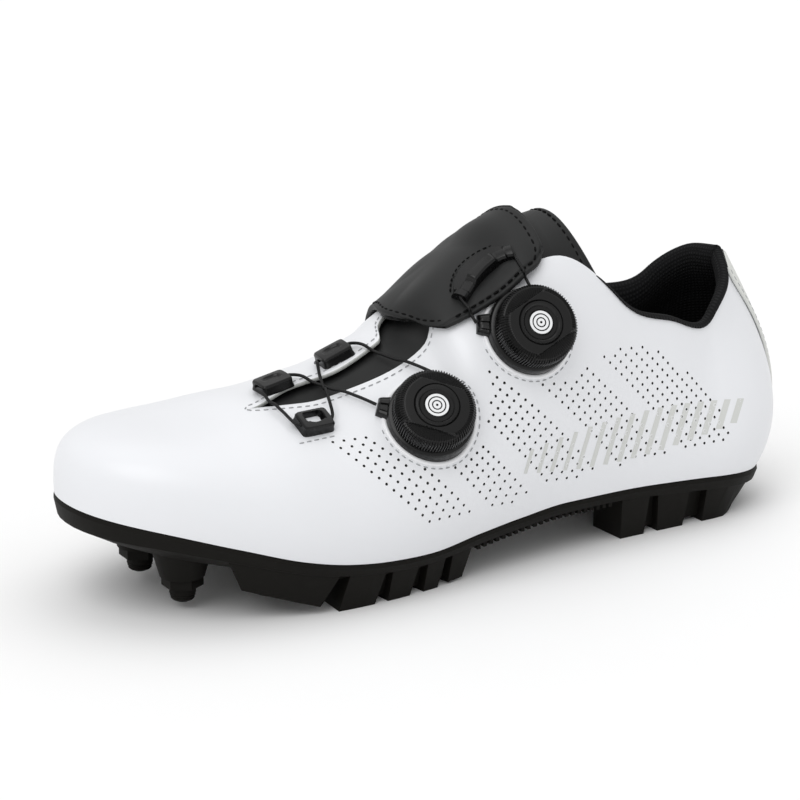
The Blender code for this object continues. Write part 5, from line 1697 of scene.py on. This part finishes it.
def dress_sole(frame: dict) -> None:
    """Rubber sole: a copy of the solid one, welded, with its edges rounded by a bevel."""
    mesh = frame["nodes"]["outsole"].data.copy()
    mesh.name = "lugged_sole"
    work = bmesh.new()
    work.from_mesh(mesh)
    bmesh.ops.remove_doubles(work, verts=work.verts, dist=1e-5)
    bmesh.ops.dissolve_limit(work, angle_limit=np.radians(1.0), verts=work.verts, edges=work.edges)
    work.to_mesh(mesh)
    work.free()
    mesh.materials.clear()
    mesh.materials.append(RUBBER.material())
    mesh.shade_smooth()
    mesh.set_sharp_from_angle(angle=np.radians(32.0))
    sole = linked("lugged_sole", mesh)
    bevel = sole.modifiers.new("soft_edges", "BEVEL")
    bevel.width, bevel.segments = 0.0007, 2
    bevel.limit_method, bevel.angle_limit = "ANGLE", np.radians(38.0)
    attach(sole, "root")
    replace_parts(sole, "outsole")


def slit_seam(last: Last, throat: Throat, upper: Upper, inset: float = 0.0022, tip_station: float = 0.762,
              start: float = 0.42, end: float = 0.50) -> None:
    """Dashed seam round the throat slit: down one rim, round its tip on a half circle, up the other.

    Args:
        last: The shoe's form.
        throat: The surface over the foot.
        upper: The shell that is sewn.
        inset: Length from the rim to the seam.
        tip_station: Station round which the seam turns.
        start: Station of the lateral end.
        end: Station of the medial end.
    """
    turn_off = tip_station - 0.010
    down, down_n = upper.seam_path((start, turn_off), -1.0, inset)
    back, back_n = upper.seam_path((turn_off, end), 1.0, inset)
    angle = np.linspace(-np.pi / 2, np.pi / 2, 24)[1:-1]
    tip = throat.place(last.turn(tip_station + inset * np.cos(angle) / last.length), inset * np.sin(angle))
    tip_n = np.broadcast_to(unit(down_n[-1] + back_n[0]), tip.shape)
    path, normals = np.concatenate([down, tip, back]), np.concatenate([down_n, tip_n, back_n])
    stitches("slit_seam", path, normals, GREY_THREAD, length=0.0019, gap=0.0012, radius=0.00026)


def guide_seam(last: Last, view: View) -> None:
    """Short dashed seam along the front of the lateral guide."""
    path, normals = last.skin(*last.find(np.linspace((298.0, 444.0), (342.0, 434.5), 40), view.flat))
    stitches("guide_seam", path, normals, GREY_THREAD, radius=0.00026)


def main() -> None:
    """Builds every piece of the shoe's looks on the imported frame."""
    logging.basicConfig(level=logging.INFO, format="%(message)s")
    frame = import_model()
    view = View()
    view.build()
    last = Last()
    throat = Throat(last)
    on_upper = Ground(frame, "upper")
    over_vamp = Ground(frame, "upper", "tongue")
    over_all = Ground(frame, "upper", "tongue", "instep_strap")
    front = Dial("dial_front", last, (0.5470, 0.681), 150.0, 62.0, 59.0)
    rear = Dial("dial_rear", last, (0.4505, 0.762), 160.0, 75.0, 112.0)
    lateral = LaceGuide("guide_lateral", (0.708, -0.0180), 1, True, throat, on_upper)
    medial_front = LaceGuide("guide_medial_front", (0.715, 0.0087), -1, False, throat, on_upper)
    medial_rear = LaceGuide("guide_medial_rear", (0.630, 0.0125), -1, False, throat, on_upper)
    arc = StrapGuide(throat, Ground(frame, "instep_strap"))
    low, high = 0.0023, 0.0043
    start, end = front.ports(on_upper)
    stops = [start, *medial_front.lace_ends(), *lateral.lace_ends()[::-1],
             *medial_rear.lace_ends()[::-1], end]
    Lace("lace_front", over_vamp, stops, (low, 0, low, 0, high, 0, low)).build()
    start, end = rear.ports(over_all)
    Lace("lace_rear", over_all, [start, *arc.lace_stops(), end], (low, 0, 0, 0, 0, low)).build()
    LOG.info("laces run")
    upper = Upper(last)
    upper.build()
    Lining(last).build()
    LOG.info("upper and lining stand")
    slit_seam(last, throat, upper)
    guide_seam(last, view)
    Pinholes(last, view).build()
    GreyHatch(last, view).build()
    LOG.info("upper is sewn, punched and printed")
    Tongue(last, throat).build()
    Strap(last, throat).build()
    arc.build()
    for guide in (lateral, medial_front, medial_rear):
        guide.build()
    for dial in (front, rear):
        dial.build()
    LOG.info("closure is on")
    HeelStrip(last).build()
    Footbed(last).build()
    station = np.array(0.873)
    middle = last.axis_y + last.ball_width * last.column(last.foot, 1, station)
    for side, name in ((-1, "lateral"), (1, "medial")):
        ToeStud(f"toe_stud_{name}", (float(last.x(station)), float(middle + side * 0.018))).build()
    dress_sole(frame)
    Studio().build()
    LOG.info("sole, footbed and studio are dressed")


if __name__ == "__main__":
    main()
